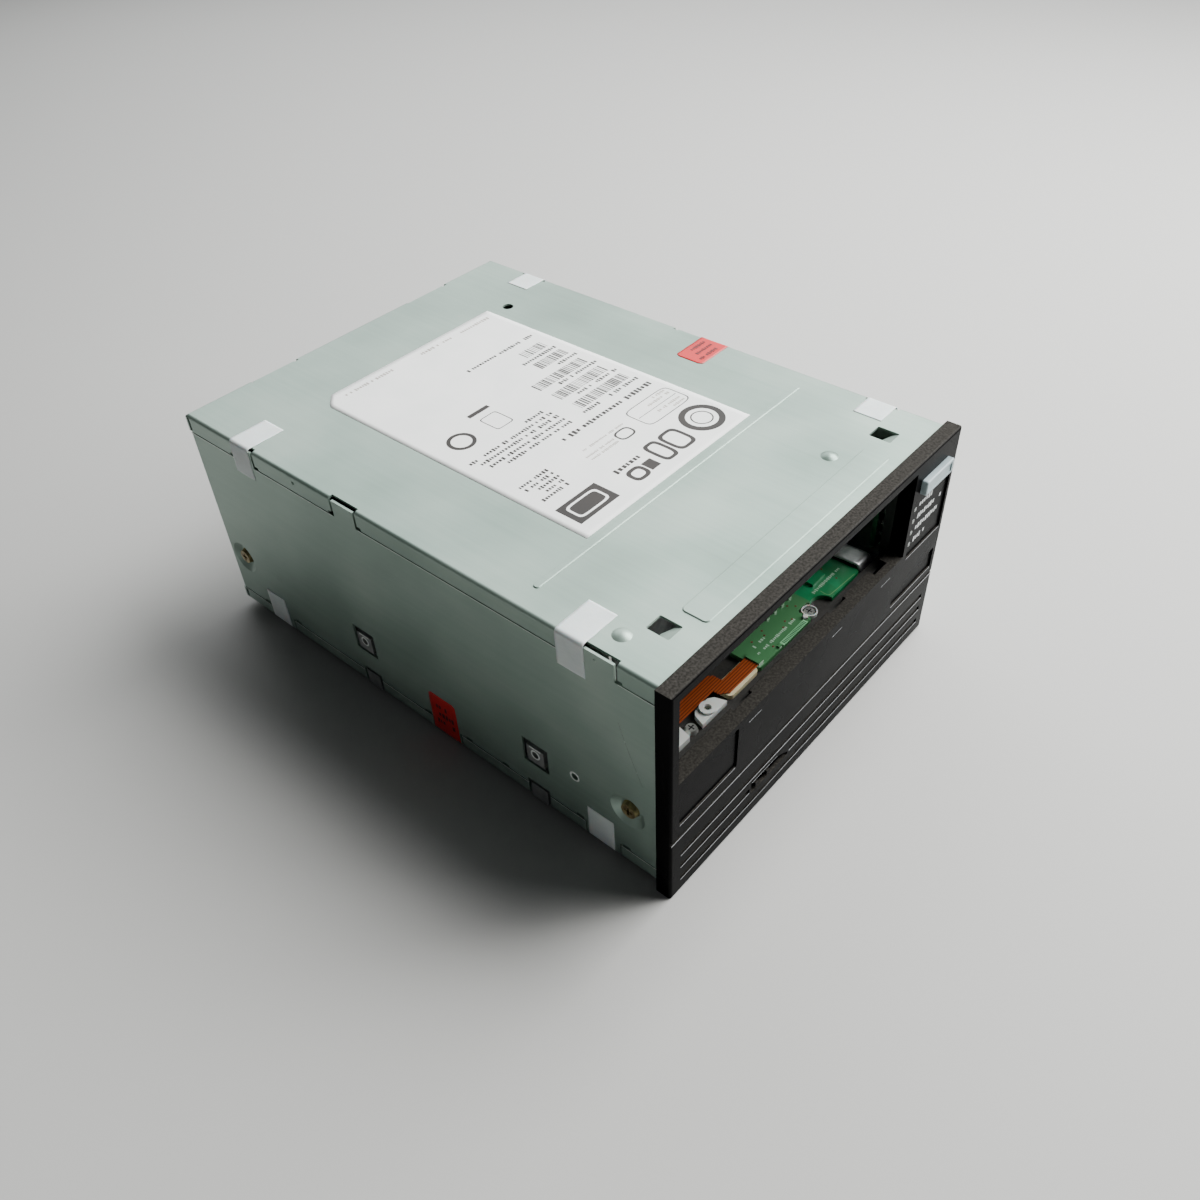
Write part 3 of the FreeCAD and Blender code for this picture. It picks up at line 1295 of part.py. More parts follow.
def power_connector():
    """The four-way power inlet, with chamfered top corners and four deep sockets."""
    left = power_centre - 10.8
    right = power_centre + 10.8
    front = chassis_depth - 14.0
    rear = chassis_depth - 0.3
    low = board_top
    high = board_top + 8.8
    outline = [vector(left, front, low), vector(left, front, high - 2.2),
               vector(left + 2.2, front, high), vector(right - 2.2, front, high),
               vector(right, front, high - 2.2), vector(right, front, low)]
    body = extruded(outline, vector(0, rear - front, 0))
    mouth = block((left + 1.2, right - 1.2), (rear - 9.0, rear + 1), (low + 1.0, high - 1.6))
    return body.cut(mouth)


def power_pins():
    """Four round contacts of the power inlet."""
    return [rod((power_centre + 5.08 * place, chassis_depth - 9.3, board_top + 4.2), REAR, 1.05, 7.0)
            for place in (-1.5, -0.5, 0.5, 1.5)]


def data_connector():
    """The 68-way data socket: a D-shaped shroud with flanges and a slotted tongue."""
    front = chassis_depth - 12.0
    rear = chassis_depth - 0.3
    low = board_top
    half = 29.8
    base = block((data_centre - half, data_centre + half), (front, rear - 5.5), (low, low + 8.4))
    middle = low + 4.4
    outline = [(-25.4, -3.4), (25.4, -3.4), (24.0, 3.4), (-24.0, 3.4)]
    shroud = extruded([vector(data_centre + x, rear - 5.6, middle + z) for x, z in outline],
                      vector(0, 5.6, 0))
    mouth = block((data_centre - 23.0, data_centre + 23.0), (rear - 5.0, rear + 1),
                  (middle - 2.5, middle + 2.5))
    tongue = block((data_centre - 21.6, data_centre + 21.6), (rear - 5.1, rear - 0.8),
                   (middle - 1.1, middle + 1.1))
    return joined([joined([base, shroud]).cut(mouth), tongue])


def jumper_block():
    """A double row of setting pins in a black base."""
    rear = chassis_depth - 1.6
    low = board_top
    base = block((jumper_centre - 6.6, jumper_centre + 6.6), (rear - 6.0, rear - 2.0), (low, low + 5.2))
    pins = []
    for column in range(5):
        for row in (1.3, 3.9):
            x = jumper_centre + (column - 2) * 2.54
            pins.append(block((x - 0.32, x + 0.32), (rear - 2.1, rear + 1.4),
                              (low + row - 0.32, low + row + 0.32)))
    return joined([base] + pins)


def fan_frame():
    """A 40 mm fan frame with a three-armed motor mount."""
    x, z = fan_centre
    half = fan_size / 2
    rear = inner_rear - 0.2
    front = rear - fan_depth
    frame = rounded(block((x - half, x + half), (front, rear), (z - half, z + half)), REAR, 2.5)
    frame = frame.cut(rod((x, front - 1, z), REAR, half - 1.0, fan_depth + 2))
    hub = rod((x, front, z), REAR, 8.0, 1.6)
    arms = []
    for turn in range(3):
        arm = block((-1.2, 1.2), (front, front + 1.6), (6.0, half - 0.6))
        arm.rotate(vector(0, 0, 0), REAR, 120 * turn + 30)
        arms.append(arm.translated(vector(x, 0, z)))
    pin = rod((x, front, z), REAR, 1.2, 6.0)
    return joined([frame, hub, pin] + arms)


def fan_bracket():
    """The upright plate on the deck that the fan stands on."""
    x, z = fan_centre
    half = fan_size / 2
    front = inner_rear - 0.2 - fan_depth
    return block((x - half + 4.0, x + half - 4.0), (front + 2.0, front + 5.6), (deck_top, z - half))


def fan_rotor():
    """Hub and seven swept blades."""
    x, z = fan_centre
    rear = inner_rear - 0.2
    front = rear - fan_depth + 2.2
    thick = fan_depth - 3.4
    hub = turned([(0, 0), (0, 9.0), (thick - 0.8, 9.0), (thick, 8.2), (thick, 0)], (x, front, z), REAR)
    blades = []
    reach = fan_size / 2 - 2.0
    for turn in range(7):
        outline = [vector(-2.6, front + 0.4, 8.0), vector(-2.0, front + 0.2, 8.0),
                   vector(3.4, front + 5.6, 8.0), vector(2.6, front + 6.0, 8.0)]
        blade = extruded(outline, vector(0, 0, reach - 8.0))
        blade.rotate(vector(0, 0, 0), REAR, 360.0 / 7 * turn)
        blades.append(blade.translated(vector(x, 0, z)))
    bore = rod((x, front - 1, z), REAR, 1.25, 5.2)
    return joined([hub] + blades).cut(bore)


# ---------------------------------------------------------------- the whole drive
def build():
    keep("top_cover", top_cover())
    keep("side_wrap", side_wrap())
    keep("bottom_cover", bottom_cover())
    keep("front_bezel", front_bezel())
    keep("eject_button", eject_button())
    keep("slot_guide", slot_guide())
    keep("light_pipes", light_pipes())
    keep("panel_board", panel_board())
    keep("panel_parts", *panel_parts())
    keep("deck_casting", deck_casting())
    keep("shell_screws", *shell_screws())
    keep("cross_shaft", cross_shaft())
    keep("rack_gears", *rack_gears())
    keep("load_gear", load_gear())
    keep("motor_pinion", motor_pinion())
    keep("load_motor", load_motor())
    keep("motor_cradle", motor_cradle())
    keep("cartridge_carriage", carriage())
    keep("cam_plate_left", cam(cam_left()))
    keep("cam_plate_right", cam(cam_right()))
    keep("loader_frame", loader_frame())
    keep("frame_screws", *frame_screws())
    keep("supply_motor", reel_motor(cartridge_axis, supply_row))
    keep("take_up_motor", reel_motor(take_up_axis, take_up_row))
    keep("supply_spindle", supply_spindle())
    keep("take_up_reel", take_up_reel())
    keep("take_up_flange", take_up_flange())
    keep("roller_posts", *roller_posts())
    for number, place in enumerate(roller_places, 1):
        keep("guide_roller_%d" % number, guide_roller(place))
    keep("head_base", head_base())
    keep("head_block", head_block())
    keep("head_coil", head_coil())
    keep("head_magnet", head_magnet())
    keep("threader_arm", threader_arm())
    keep("arm_pin", arm_pin())
    keep("front_shelf", front_shelf())
    keep("front_board", front_board())
    keep("front_board_parts", *front_board_parts())
    keep("front_flex", front_flex())
    keep("flex_stiffener", flex_stiffener())
    keep("guide_clamp", guide_clamp())
    keep("corner_wedge", corner_wedge())
    keep("slot_bracket", slot_bracket())
    keep("front_screws", *front_screws())
    keep("main_board", main_board())
    keep("board_screws", *board_screws())
    keep("board_chips", *board_chips())
    keep("power_connector", power_connector())
    keep("power_pins", *power_pins())
    keep("data_connector", data_connector())
    keep("jumper_block", jumper_block())
    keep("fan_frame", fan_frame())
    keep("fan_bracket", fan_bracket())
    keep("fan_rotor", fan_rotor())


def export():
    os.makedirs("parts", exist_ok=True)
    shift = vector(0, -origin_row, 0)
    for name, solids in parts.items():
        shape = solids[0] if len(solids) == 1 else Part.makeCompound(solids)
        moved = shape.translated(shift)
        moved.exportStep("parts/%s.step" % name)
        box = moved.BoundBox
        print("%-20s %2d solids  valid %-5s volume %9.1f  x %7.2f %7.2f  y %7.2f %7.2f  z %7.2f %7.2f" % (
            name, len(solids), moved.isValid(), moved.Volume, box.XMin, box.XMax, box.YMin, box.YMax,
            box.ZMin, box.ZMax))


build()
export()
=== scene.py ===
# %% [markdown]
# # A full-height tape drive, dressed for its portrait
#
# The drive comes from the CAD frame with every sheet, gear and board in its place. A bare solid
# looks like a clay model, though, so this lesson gives each surface the finish of its real
# material and adds the thin things that a solid model leaves out: the paper label, strips of
# masking tape, red seals, printed marks, copper tracks and solder.
#
# Units are metres, as in the frame. A length in a drawing is easier to read in millimetres, so
# the value MM turns one into the other.

# %% Load the frame
import bpy
import math
import numpy as np
from mathutils import Matrix, Vector


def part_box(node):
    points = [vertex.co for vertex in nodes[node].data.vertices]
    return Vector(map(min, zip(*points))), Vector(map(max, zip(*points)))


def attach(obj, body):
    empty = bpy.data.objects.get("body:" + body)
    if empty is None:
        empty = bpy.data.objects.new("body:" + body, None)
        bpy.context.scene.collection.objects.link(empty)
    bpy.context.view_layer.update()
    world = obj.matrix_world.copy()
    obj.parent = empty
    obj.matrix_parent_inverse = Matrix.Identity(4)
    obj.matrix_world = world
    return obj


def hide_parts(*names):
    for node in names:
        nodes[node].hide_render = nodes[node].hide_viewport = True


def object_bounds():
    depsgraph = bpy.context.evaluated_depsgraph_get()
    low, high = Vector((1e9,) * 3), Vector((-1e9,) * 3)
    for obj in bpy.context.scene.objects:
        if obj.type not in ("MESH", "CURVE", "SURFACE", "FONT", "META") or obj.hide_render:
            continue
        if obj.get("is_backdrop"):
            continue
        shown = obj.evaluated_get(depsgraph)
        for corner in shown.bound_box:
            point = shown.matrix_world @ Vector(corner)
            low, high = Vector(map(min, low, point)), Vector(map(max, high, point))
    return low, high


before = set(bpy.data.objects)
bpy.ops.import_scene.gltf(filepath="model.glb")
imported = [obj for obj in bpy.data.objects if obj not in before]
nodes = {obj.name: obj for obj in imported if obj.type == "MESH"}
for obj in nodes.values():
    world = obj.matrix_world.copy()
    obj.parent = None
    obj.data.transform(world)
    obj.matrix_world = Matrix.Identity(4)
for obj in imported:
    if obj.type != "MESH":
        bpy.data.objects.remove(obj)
cad_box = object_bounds()
MM = 0.001

# %% [markdown]
# ## Where things are
#
# Every new piece lies on a surface of the enclosure, so its place is worked out from the box of
# the sheet that makes the side and rear walls. If the enclosure grows, the label and the tapes
# move with it. The lid lies on the walls, higher by the thickness of its sheet.
#
# Along the depth it is handy to count from the enclosure's front edge, as one would with a ruler.

# %% Reference planes of the enclosure
SHEET = 0.8 * MM
wall_low, wall_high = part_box("side_wrap")
half_width = wall_high[0]
front_edge = wall_low[1]
rear_edge = wall_high[1]
lid_top = wall_high[2] + SHEET        # the lid's flat face, below its embossed ribs


def depth(millimetres):
    """A place along Y, counted from the enclosure's front edge."""
    return front_edge + millimetres * MM


print(f"enclosure {2000 * half_width:.2f} mm wide, lid face at {1000 * lid_top:.2f} mm")

# %% [markdown]
# ## The camera
#
# The drive is seen from its front left corner and from well above, with a rather wide lens held
# close, which makes the near corner large. A camera in Blender looks along its own -Z axis.
# One could turn it by three angles, but it is clearer to name the point where it stands and the
# point that it looks at, and to add the small tilt of a hand-held camera afterwards.

# %% Stand the camera at the front left corner
EYE = Vector((-213.05, -199.285, 274.37)) * MM
AIM = Vector((-22.67, -23.11, 40.0)) * MM
HAND_TILT = math.radians(3.148)
LENS, SENSOR = 32.38, 36.0            # millimetres
NEAREST = 0.01                        # metres; nothing nearer is drawn

level_turn = (AIM - EYE).normalized().to_track_quat("-Z", "Y").to_matrix()
tilt = Matrix.Rotation(-HAND_TILT, 3, "Z")
camera_data = bpy.data.cameras.new("camera")
camera_data.lens = LENS
camera_data.sensor_width = SENSOR
camera_data.clip_start = NEAREST
camera = bpy.data.objects.new("camera", camera_data)
camera.matrix_world = Matrix.Translation(EYE) @ (level_turn @ tilt).to_4x4()
bpy.context.collection.objects.link(camera)
bpy.context.scene.camera = camera
print(f"camera {EYE.length:.3f} m from the origin")

# %% [markdown]
# ## Helpers for shader nodes
#
# A material is a small graph of nodes, and most of the lines in its recipe would only create a
# node, fill in its fields and draw its links. One function does all of that, so that a recipe reads
# as a list of what feeds what. Colours are written as the hex values of a colour picker, which
# are in sRGB, and a shader wants linear light, so one function converts them.

# %% Colour and node helpers
def linear(code):
    """An sRGB hex colour as linear RGBA: each channel is ((c + 0.055) / 1.055) to the power 2.4."""
    channels = []
    for place in (0, 2, 4):
        value = int(code.lstrip("#")[place:place + 2], 16) / 255
        value = value / 12.92 if value <= 0.04045 else ((value + 0.055) / 1.055) ** 2.4
        channels.append(value)
    return (*channels, 1.0)


def add(tree, kind, settings=None, links=None):
    """Adds a shader node, sets its fields and sockets, and links outputs of others into it."""
    node = tree.nodes.new("ShaderNode" + kind)
    for key, value in (settings or {}).items():
        if key == "stops":
            ramp = node.color_ramp
            while len(ramp.elements) < len(value):
                ramp.elements.new(0.5)
            for element, (position, colour) in zip(ramp.elements, value):
                element.position = position
                element.color = linear(colour)
        elif isinstance(key, str) and key[0].islower():
            setattr(node, key, value)
        else:
            node.inputs[key].default_value = value
    for key, source in (links or {}).items():
        tree.links.new(source, node.inputs[key])
    return node


print("black is", linear("#000000")[:3])

# %% [markdown]
# ## Steps that every recipe takes
#
# Most finishes here are built alike. A noise of some grain size, in the object's own coordinates,
# is spread onto a range of roughness, turned into a colour by a ramp, or used as the height of a
# bump. Each of those steps gets a short name, with its sizes in millimetres.

# %% Short names for the steps
def new_material(name):
    """An empty node material, its tree and the socket with the object's own coordinates."""
    material = bpy.data.materials.new(name)
    material.use_nodes = True
    tree = material.node_tree
    tree.nodes.clear()
    return material, tree, add(tree, "TexCoord").outputs["Object"]


def noise(tree, place, grain, detail=2.0, roughness=0.5):
    """A noise whose features are about one grain wide."""
    return add(tree, "TexNoise", {"Scale": 1 / (grain * MM), "Detail": detail,
                                  "Roughness": roughness}, {"Vector": place}).outputs["Fac"]


def spread(tree, value, low, high, start=0.3, end=0.7):
    """Maps a value from start and end onto low and high, in a straight line."""
    return add(tree, "MapRange", {"From Min": start, "From Max": end, "To Min": low,
                                  "To Max": high}, {"Value": value}).outputs[0]


def tinted(tree, value, *stops):
    """The colour that a ramp of (position, hex) stops gives a value."""
    return add(tree, "ValToRGB", {"stops": stops}, {"Fac": value}).outputs["Color"]


def mixed(tree, settings, links):
    """Mixes two colours: socket 0 is the share of the second, 6 and 7 are the colours."""
    return add(tree, "Mix", {"data_type": "RGBA", **settings}, links).outputs[2]


def weighed(tree, value, weight, base):
    """A value times a weight, added to a base value."""
    return add(tree, "Math", {"operation": "MULTIPLY_ADD", 1: weight},
               {0: value, 2: base}).outputs[0]


def shaded(material, settings, colour, height, relief, rise, rough=None):
    """Ends a recipe: a principled shader with a bump of strength relief and a height of rise mm."""
    tree = material.node_tree
    bump = add(tree, "Bump", {"Strength": relief, "Distance": rise * MM}, {"Height": height})
    links = {"Base Color": colour, "Normal": bump.outputs[0]}
    if rough is not None:
        links["Roughness"] = rough
    shader = add(tree, "BsdfPrincipled", settings, links)
    add(tree, "OutputMaterial", {}, {"Surface": shader.outputs[0]})
    return material


print("7 steps named")

# %% [markdown]
# ## Zinc-plated sheet
#
# The three folded covers are electro-galvanised steel, passivated to a pale greenish grey. Such
# zinc has no brushed grain: it is a fine, even crystal coat that scatters the light softly, with
# faint clouds where the bath ran unevenly and faint streaks along the rolling direction. A metal
# with a rather high roughness gives the soft sheen. The clouds are a slow noise of about 40 mm, the
# streaks a noise stretched along the depth, and the crystals a noise of 0.5 mm in the bump.

# %% Zinc-plated steel sheet
def zinc_plated_sheet():
    """Pale greenish zinc: cloudy colour, soft sheen, crystal grain in the bump."""
    material, tree, place = new_material("zinc_plated_sheet")
    rolled = add(tree, "Mapping", {"Scale": (1.0, 0.03, 1.0)}, {"Vector": place}).outputs[0]
    clouds = noise(tree, place, 40, 3.0, 0.45)
    blended = weighed(tree, noise(tree, rolled, 1.6), 0.22, clouds)
    colour = tinted(tree, blended, (0.35, "#82978c"), (0.62, "#93a79c"), (0.85, "#a2b3a8"))
    return shaded(material, {"Metallic": 0.55}, colour, noise(tree, place, 0.5), 0.10, 0.02,
                  spread(tree, blended, 0.36, 0.46, 0.3, 0.8))


zinc = zinc_plated_sheet()
print("made", zinc.name)

# %% [markdown]
# ## Other metals
#
# The rest of the metal differs in colour, in how coarse its surface is and in how sharp it
# mirrors: die-cast aluminium is grainy and dull, nickel-plated steel is smooth and bright, a
# ground pin is brighter still, and a turned roller shows the rings of the tool. One recipe with a
# grain size in millimetres serves them all. Blender's wave turns 20 radians per unit of scaled
# length, so tool marks whose rings are 0.12 lie 2 pi times that apart, 0.75 mm.

# %% Cast, plated and turned metals
def bare_metal(name, dark, light, grain, roughness, relief, rings=0.0, metallic=0.85):
    """A mottled metal; grain is its pits' size in mm, rings what tool marks advance per radian."""
    material, tree, place = new_material(name)
    mottle = noise(tree, place, grain * 9, 4.0)
    if rings:
        marks = add(tree, "TexWave", {"bands_direction": "Z", "Scale": 1 / (rings * 20 * MM),
                                      "Distortion": 0.6}, {"Vector": place})
        height = marks.outputs["Fac"]
    else:
        height = noise(tree, place, grain, 3.0)
    colour = tinted(tree, mottle, (0.35, dark), (0.65, light))
    return shaded(material, {"Metallic": metallic}, colour, height, relief, 0.05,
                  spread(tree, mottle, roughness - 0.02, roughness + 0.04))


die_cast = bare_metal("die_cast_aluminium", "#999c9c", "#aaacab", 0.45, 0.52, 0.55)
nickel = bare_metal("nickel_plated_sheet", "#c4c6c1", "#cfd0ca", 0.3, 0.32, 0.12)
ground = bare_metal("ground_steel", "#9fa1a3", "#c2c3c4", 0.2, 0.20, 0.10)
turned = bare_metal("turned_aluminium", "#b9babd", "#d5d6d8", 0.3, 0.22, 0.18, rings=0.12)
motor_can = bare_metal("drawn_motor_can", "#8c8e8e", "#aeb0ae", 0.35, 0.34, 0.20)
gilt = bare_metal("gold_flash", "#c49a4a", "#e3c07a", 0.2, 0.26, 0.12)
yellow_zinc = bare_metal("yellow_passivated_screw", "#6f6244", "#b0a070", 0.25, 0.36, 0.30)
copper = bare_metal("enamelled_copper_wire", "#9a5a34", "#c8804e", 0.2, 0.30, 0.5, rings=0.1)
print("made 8 metals")

# %% [markdown]
# ## Moulded plastics
#
# A moulding carries the texture of its steel mould. The bezel is ABS from a spark-eroded mould:
# black, with an even pebble of about a quarter of a millimetre, a dull sheen and a few paler
# specks of dust. Wherever a face looks up, the recipe mixes in a grey by the upward part of the
# surface normal: partly dust settled in the pebble, partly painted light on the lit upward faces.
# Gears and clamps are acetal, which is waxy and lets a little light in. Each has its own pebble
# size, given in millimetres.
#
# The bezel's refractive index is set lower than real plastic has, because a large pale floor
# would otherwise turn its black face grey at a low angle.

# %% Plastics from textured and smooth moulds
# Grey of dust and of painted light on the upward faces.
DUST_AND_TOP_LIGHT_GREY = linear("#837f77")


def add_dust_and_top_light(tree, place, colour, amount):
    """Grey over a colour, dust and painted top light: its share grows as the normal's Z goes from
    0.55 to 0.95.
    """
    normal = add(tree, "NewGeometry").outputs["Normal"]
    facing = add(tree, "SeparateXYZ", {}, {"Vector": normal})
    upward = spread(tree, facing.outputs["Z"], 0.0, amount, 0.55, 0.95)
    grit = spread(tree, noise(tree, place, 0.7), 0.55, 1.25, 0.35, 0.75)
    # Share of grey on upward faces: dust, and painted light where the tops are lit.
    dust_and_light_share = add(tree, "Math", {"operation": "MULTIPLY"}, {0: upward, 1: grit})
    return mixed(tree, {7: DUST_AND_TOP_LIGHT_GREY}, {0: dust_and_light_share.outputs[0], 6: colour})


def moulded_plastic(name, dark, light, pebble, roughness, relief, glow=0.0, dust_and_top_light=0.0, coat=0.0,
                    index=1.50):
    """Plastic with a mould's pebble in mm; glow is light inside, dust_and_top_light the grey of
    dust and painted light on upward faces.
    """
    material, tree, place = new_material(name)
    tone = noise(tree, place, 22, 3.0)
    colour = tinted(tree, tone, (0.3, dark), (0.7, light))
    if dust_and_top_light:
        colour = add_dust_and_top_light(tree, place, colour, dust_and_top_light)
    settings = {"Subsurface Weight": glow, "Subsurface Scale": 0.6 * MM, "IOR": index,
                "Coat Weight": coat, "Coat Roughness": 0.15}
    return shaded(material, settings, colour, noise(tree, place, pebble, 2.0, 0.6), relief, 0.06,
                  spread(tree, tone, roughness - 0.04, roughness + 0.06))


black_abs = moulded_plastic("black_textured_abs", "#020203", "#040405", 0.30, 0.26, 0.14, dust_and_top_light=0.16,
                            index=1.08)
inner_abs = moulded_plastic("black_inner_moulding", "#0a0a0b", "#111112", 0.5, 0.45, 0.3, dust_and_top_light=0.12)
fan_black = moulded_plastic("glass_filled_black", "#101011", "#19191a", 0.4, 0.42, 0.2)
button_grey = moulded_plastic("blue_grey_abs", "#8d9da0", "#9fb0b3", 0.2, 0.34, 0.12)
acetal = moulded_plastic("natural_acetal", "#d8d5c8", "#ebe8dd", 0.4, 0.36, 0.08, glow=0.25)
clamp_white = moulded_plastic("white_acetal", "#b9bdb9", "#d2d5d1", 0.3, 0.38, 0.08, glow=0.2)
beige = moulded_plastic("beige_stiffener", "#c2b48c", "#ddd2ae", 0.35, 0.46, 0.2, glow=0.1)
reel_grey = moulded_plastic("glass_filled_grey", "#3a3c3f", "#4c4e51", 0.4, 0.44, 0.25)
chip_epoxy = moulded_plastic("moulded_epoxy_package", "#151516", "#222224", 0.12, 0.52, 0.5)
socket_black = moulded_plastic("socket_housing", "#121213", "#1c1c1e", 0.3, 0.40, 0.2)
socket_white = moulded_plastic("white_nylon_housing", "#cfcfc6", "#e4e3da", 0.3, 0.42, 0.15,
                               glow=0.15)
ceramic = moulded_plastic("lapped_ceramic", "#1b191a", "#2a2728", 0.1, 0.12, 0.02, coat=0.4)
print("made 12 plastics")

# %% [markdown]
# ## Boards, film and acrylic
#
# A circuit board is glass cloth in epoxy under a thin green lacquer, and the copper under the
# lacquer shows as slightly paler lines and fields. Straight tracks could be drawn as an image,
# but a brick pattern over slow fields gives the same broken grid at any resolution. The flat
# circuit is amber polyimide over parallel copper tracks, so a wave across its width draws them.

# %% Boards under solder lacquer, amber film, clear acrylic
FILM_PITCH = 0.85                     # millimetres from one copper track to the next


def lacquered_board(name, dark, light, track, plane=None, plane_edge=0.0):
    """Lacquer over bricks 4 by 2 tracks (in mm) large; left of plane_edge lies a copper plane."""
    material, tree, place = new_material(name)
    tracks = add(tree, "TexBrick", {"Scale": 1 / (track * 8 * MM), "Mortar Size": 0.012,
                                    "Color1": linear(light), "Color2": linear(dark),
                                    "Mortar": linear(dark), "Bias": 0.2}, {"Vector": place})
    pour = tinted(tree, noise(tree, place, 11, 1.0), (0.47, dark), (0.53, light))
    colour = mixed(tree, {0: 0.35}, {6: pour, 7: tracks.outputs["Color"]})
    if plane:
        across = add(tree, "SeparateXYZ", {}, {"Vector": place}).outputs["X"]
        bare_side = spread(tree, across, 0.0, 1.0, (plane_edge - 0.4) * MM, (plane_edge + 0.4) * MM)
        colour = mixed(tree, {6: linear(plane)}, {0: bare_side, 7: colour})
    settings = {"Roughness": 0.30, "Coat Weight": 0.5, "Coat Roughness": 0.12}
    return shaded(material, settings, colour, noise(tree, place, 0.35, 1.0), 0.12, 0.02)


def amber_film():
    """Polyimide over copper tracks: a wave across the film that repeats at each track."""
    material, tree, place = new_material("amber_polyimide_film")
    tracks = add(tree, "TexWave", {"bands_direction": "Y", "Distortion": 0.0, "Detail": 0.0,
                                   "Scale": 1 / (FILM_PITCH * 20 * MM) * math.pi * 2},
                 {"Vector": place}).outputs["Fac"]
    return shaded(material, {"Roughness": 0.30, "Coat Weight": 0.3},
                  tinted(tree, tracks, (0.35, "#54230d"), (0.6, "#93421b")), tracks, 0.4, 0.04)


def clear_acrylic():
    """Clear moulded acrylic with faint flow marks in its roughness."""
    material, tree, place = new_material("clear_acrylic")
    rough = spread(tree, noise(tree, place, 2), 0.05, 0.16, 0.0, 1.0)
    shader = add(tree, "BsdfPrincipled", {"Base Color": linear("#dfe8e2"), "IOR": 1.49,
                                          "Transmission Weight": 0.75}, {"Roughness": rough})
    add(tree, "OutputMaterial", {}, {"Surface": shader.outputs[0]})
    return material


board_green = lacquered_board("green_solder_lacquer", "#12592f", "#1f8048", 1.6)
front_green = lacquered_board("two_tone_green_lacquer", "#0f6b3c", "#178050", 1.6, "#42734a", 13.8)
panel_green = lacquered_board("panel_board_lacquer", "#0f4d29", "#1a6a3b", 1.2)
film = amber_film()
acrylic = clear_acrylic()
print("made 3 boards,", film.name, "and", acrylic.name)

# %% [markdown]
# ## Paper, ink, masking tape and seals
#
# The label is coated polyester paper, the tapes are white crepe paper, and the seals are red
# vinyl. All three are thin and matt, and what tells them apart is their grain: paper fibre is
# finer than a millimetre, crepe has ridges across the strip, and vinyl is smooth with a slight
# orange-peel gloss.

# %% Thin stuck-on materials
def stuck_on(name, dark, light, grain, roughness, relief, stretch=(1.0, 1.0, 1.0), glow=0.0):
    """A thin matt sheet: noise of a given grain in mm, stretched where the material has ridges."""
    material, tree, place = new_material(name)
    laid = add(tree, "Mapping", {"Scale": stretch}, {"Vector": place}).outputs[0]
    fibre = noise(tree, laid, grain, 4.0)
    tone = weighed(tree, fibre, 0.4, noise(tree, place, 14))
    settings = {"Roughness": roughness, "Subsurface Weight": glow, "Subsurface Scale": 0.2 * MM}
    return shaded(material, settings, tinted(tree, tone, (0.45, dark), (0.95, light)),
                  fibre, relief, 0.03)


label_paper = stuck_on("coated_label_paper", "#f1f4f1", "#fbfcf9", 0.4, 0.55, 0.12)
brown_ink = stuck_on("brown_black_ink", "#17130f", "#231d17", 0.2, 0.55, 0.1)
faint_ink = stuck_on("worn_brown_ink", "#9b958c", "#b9b4ac", 0.2, 0.55, 0.1)
crepe_tape = stuck_on("white_crepe_tape", "#d3dcda", "#e6edec", 0.7, 0.60, 0.5,
                      stretch=(1.0, 0.35, 1.0), glow=0.1)
red_vinyl = stuck_on("red_vinyl_seal", "#b90d11", "#d01418", 0.5, 0.42, 0.12)
dark_red_ink = stuck_on("dark_red_ink", "#3f0507", "#520709", 0.2, 0.5, 0.1)
white_ink = stuck_on("white_pad_print", "#b9bdbd", "#d7dada", 0.15, 0.45, 0.1)
print("made 7 thin materials")

# %% [markdown]
# ## Dressing the CAD nodes
#
# The solids already have the right shape, so most of them only need their finish. The table below
# names the finish of each node once, and a short loop puts it into the node's material slots.

# %% Give every node its finish
finish_of = {
    zinc: ["top_cover", "side_wrap", "bottom_cover"],
    black_abs: ["front_bezel"],
    inner_abs: ["slot_guide", "front_shelf"],
    fan_black: ["fan_frame", "fan_rotor"],
    button_grey: ["eject_button"],
    acrylic: ["light_pipes"],
    panel_green: ["panel_board"],
    front_green: ["front_board", "front_board_parts"],
    board_green: ["main_board"],
    chip_epoxy: ["panel_parts", "board_chips"],
    socket_white: ["power_connector"],
    socket_black: ["jumper_block", "data_connector"],
    die_cast: ["deck_casting", "head_base"],
    motor_can: ["supply_motor", "take_up_motor", "load_motor"],
    yellow_zinc: ["shell_screws"],
    ground: ["cross_shaft", "roller_posts", "arm_pin", "head_magnet", "frame_screws",
             "board_screws"],
    nickel: ["front_screws", "cartridge_carriage", "cam_plate_left", "cam_plate_right",
             "loader_frame", "motor_cradle", "fan_bracket", "slot_bracket"],
    acetal: ["rack_gears", "load_gear", "motor_pinion"],
    reel_grey: ["supply_spindle", "take_up_reel", "take_up_flange"],
    turned: ["guide_roller_1", "guide_roller_2", "guide_roller_3", "guide_roller_4",
             "threader_arm"],
    ceramic: ["head_block"],
    copper: ["head_coil"],
    film: ["front_flex"],
    beige: ["flex_stiffener"],
    clamp_white: ["guide_clamp", "corner_wedge"],
    gilt: ["power_pins"],
}
for finish, names in finish_of.items():
    for name in names:
        nodes[name].data.materials.clear()
        nodes[name].data.materials.append(finish)
bare = sorted(set(nodes) - {name for names in finish_of.values() for name in names})
print("nodes still bare:", bare)

# %% [markdown]
# ## Surfaces from arrays
#
# Every new piece below is computed with numpy: its points are a grid, worked out all at once from
# two parameters, and the faces join neighbouring points. The helper makes the quads from the grid's
# index numbers, so no loop visits single points. Several grids can go into one mesh, which is how
# a hundred printed bars become one piece. Nothing added here moves, so all of it rides on the
# chassis.

# %% Mesh helpers
def grid_faces(rows, columns, closed=False):
    """Quads over a rows by columns grid of points; closed joins the last column to the first."""
    index = np.arange(rows * columns).reshape(rows, columns)
    if closed:
        index = np.hstack([index, index[:, :1]])
    corners = (index[:-1, :-1], index[1:, :-1], index[1:, 1:], index[:-1, 1:])
    return np.stack(corners, axis=-1).reshape(-1, 4)


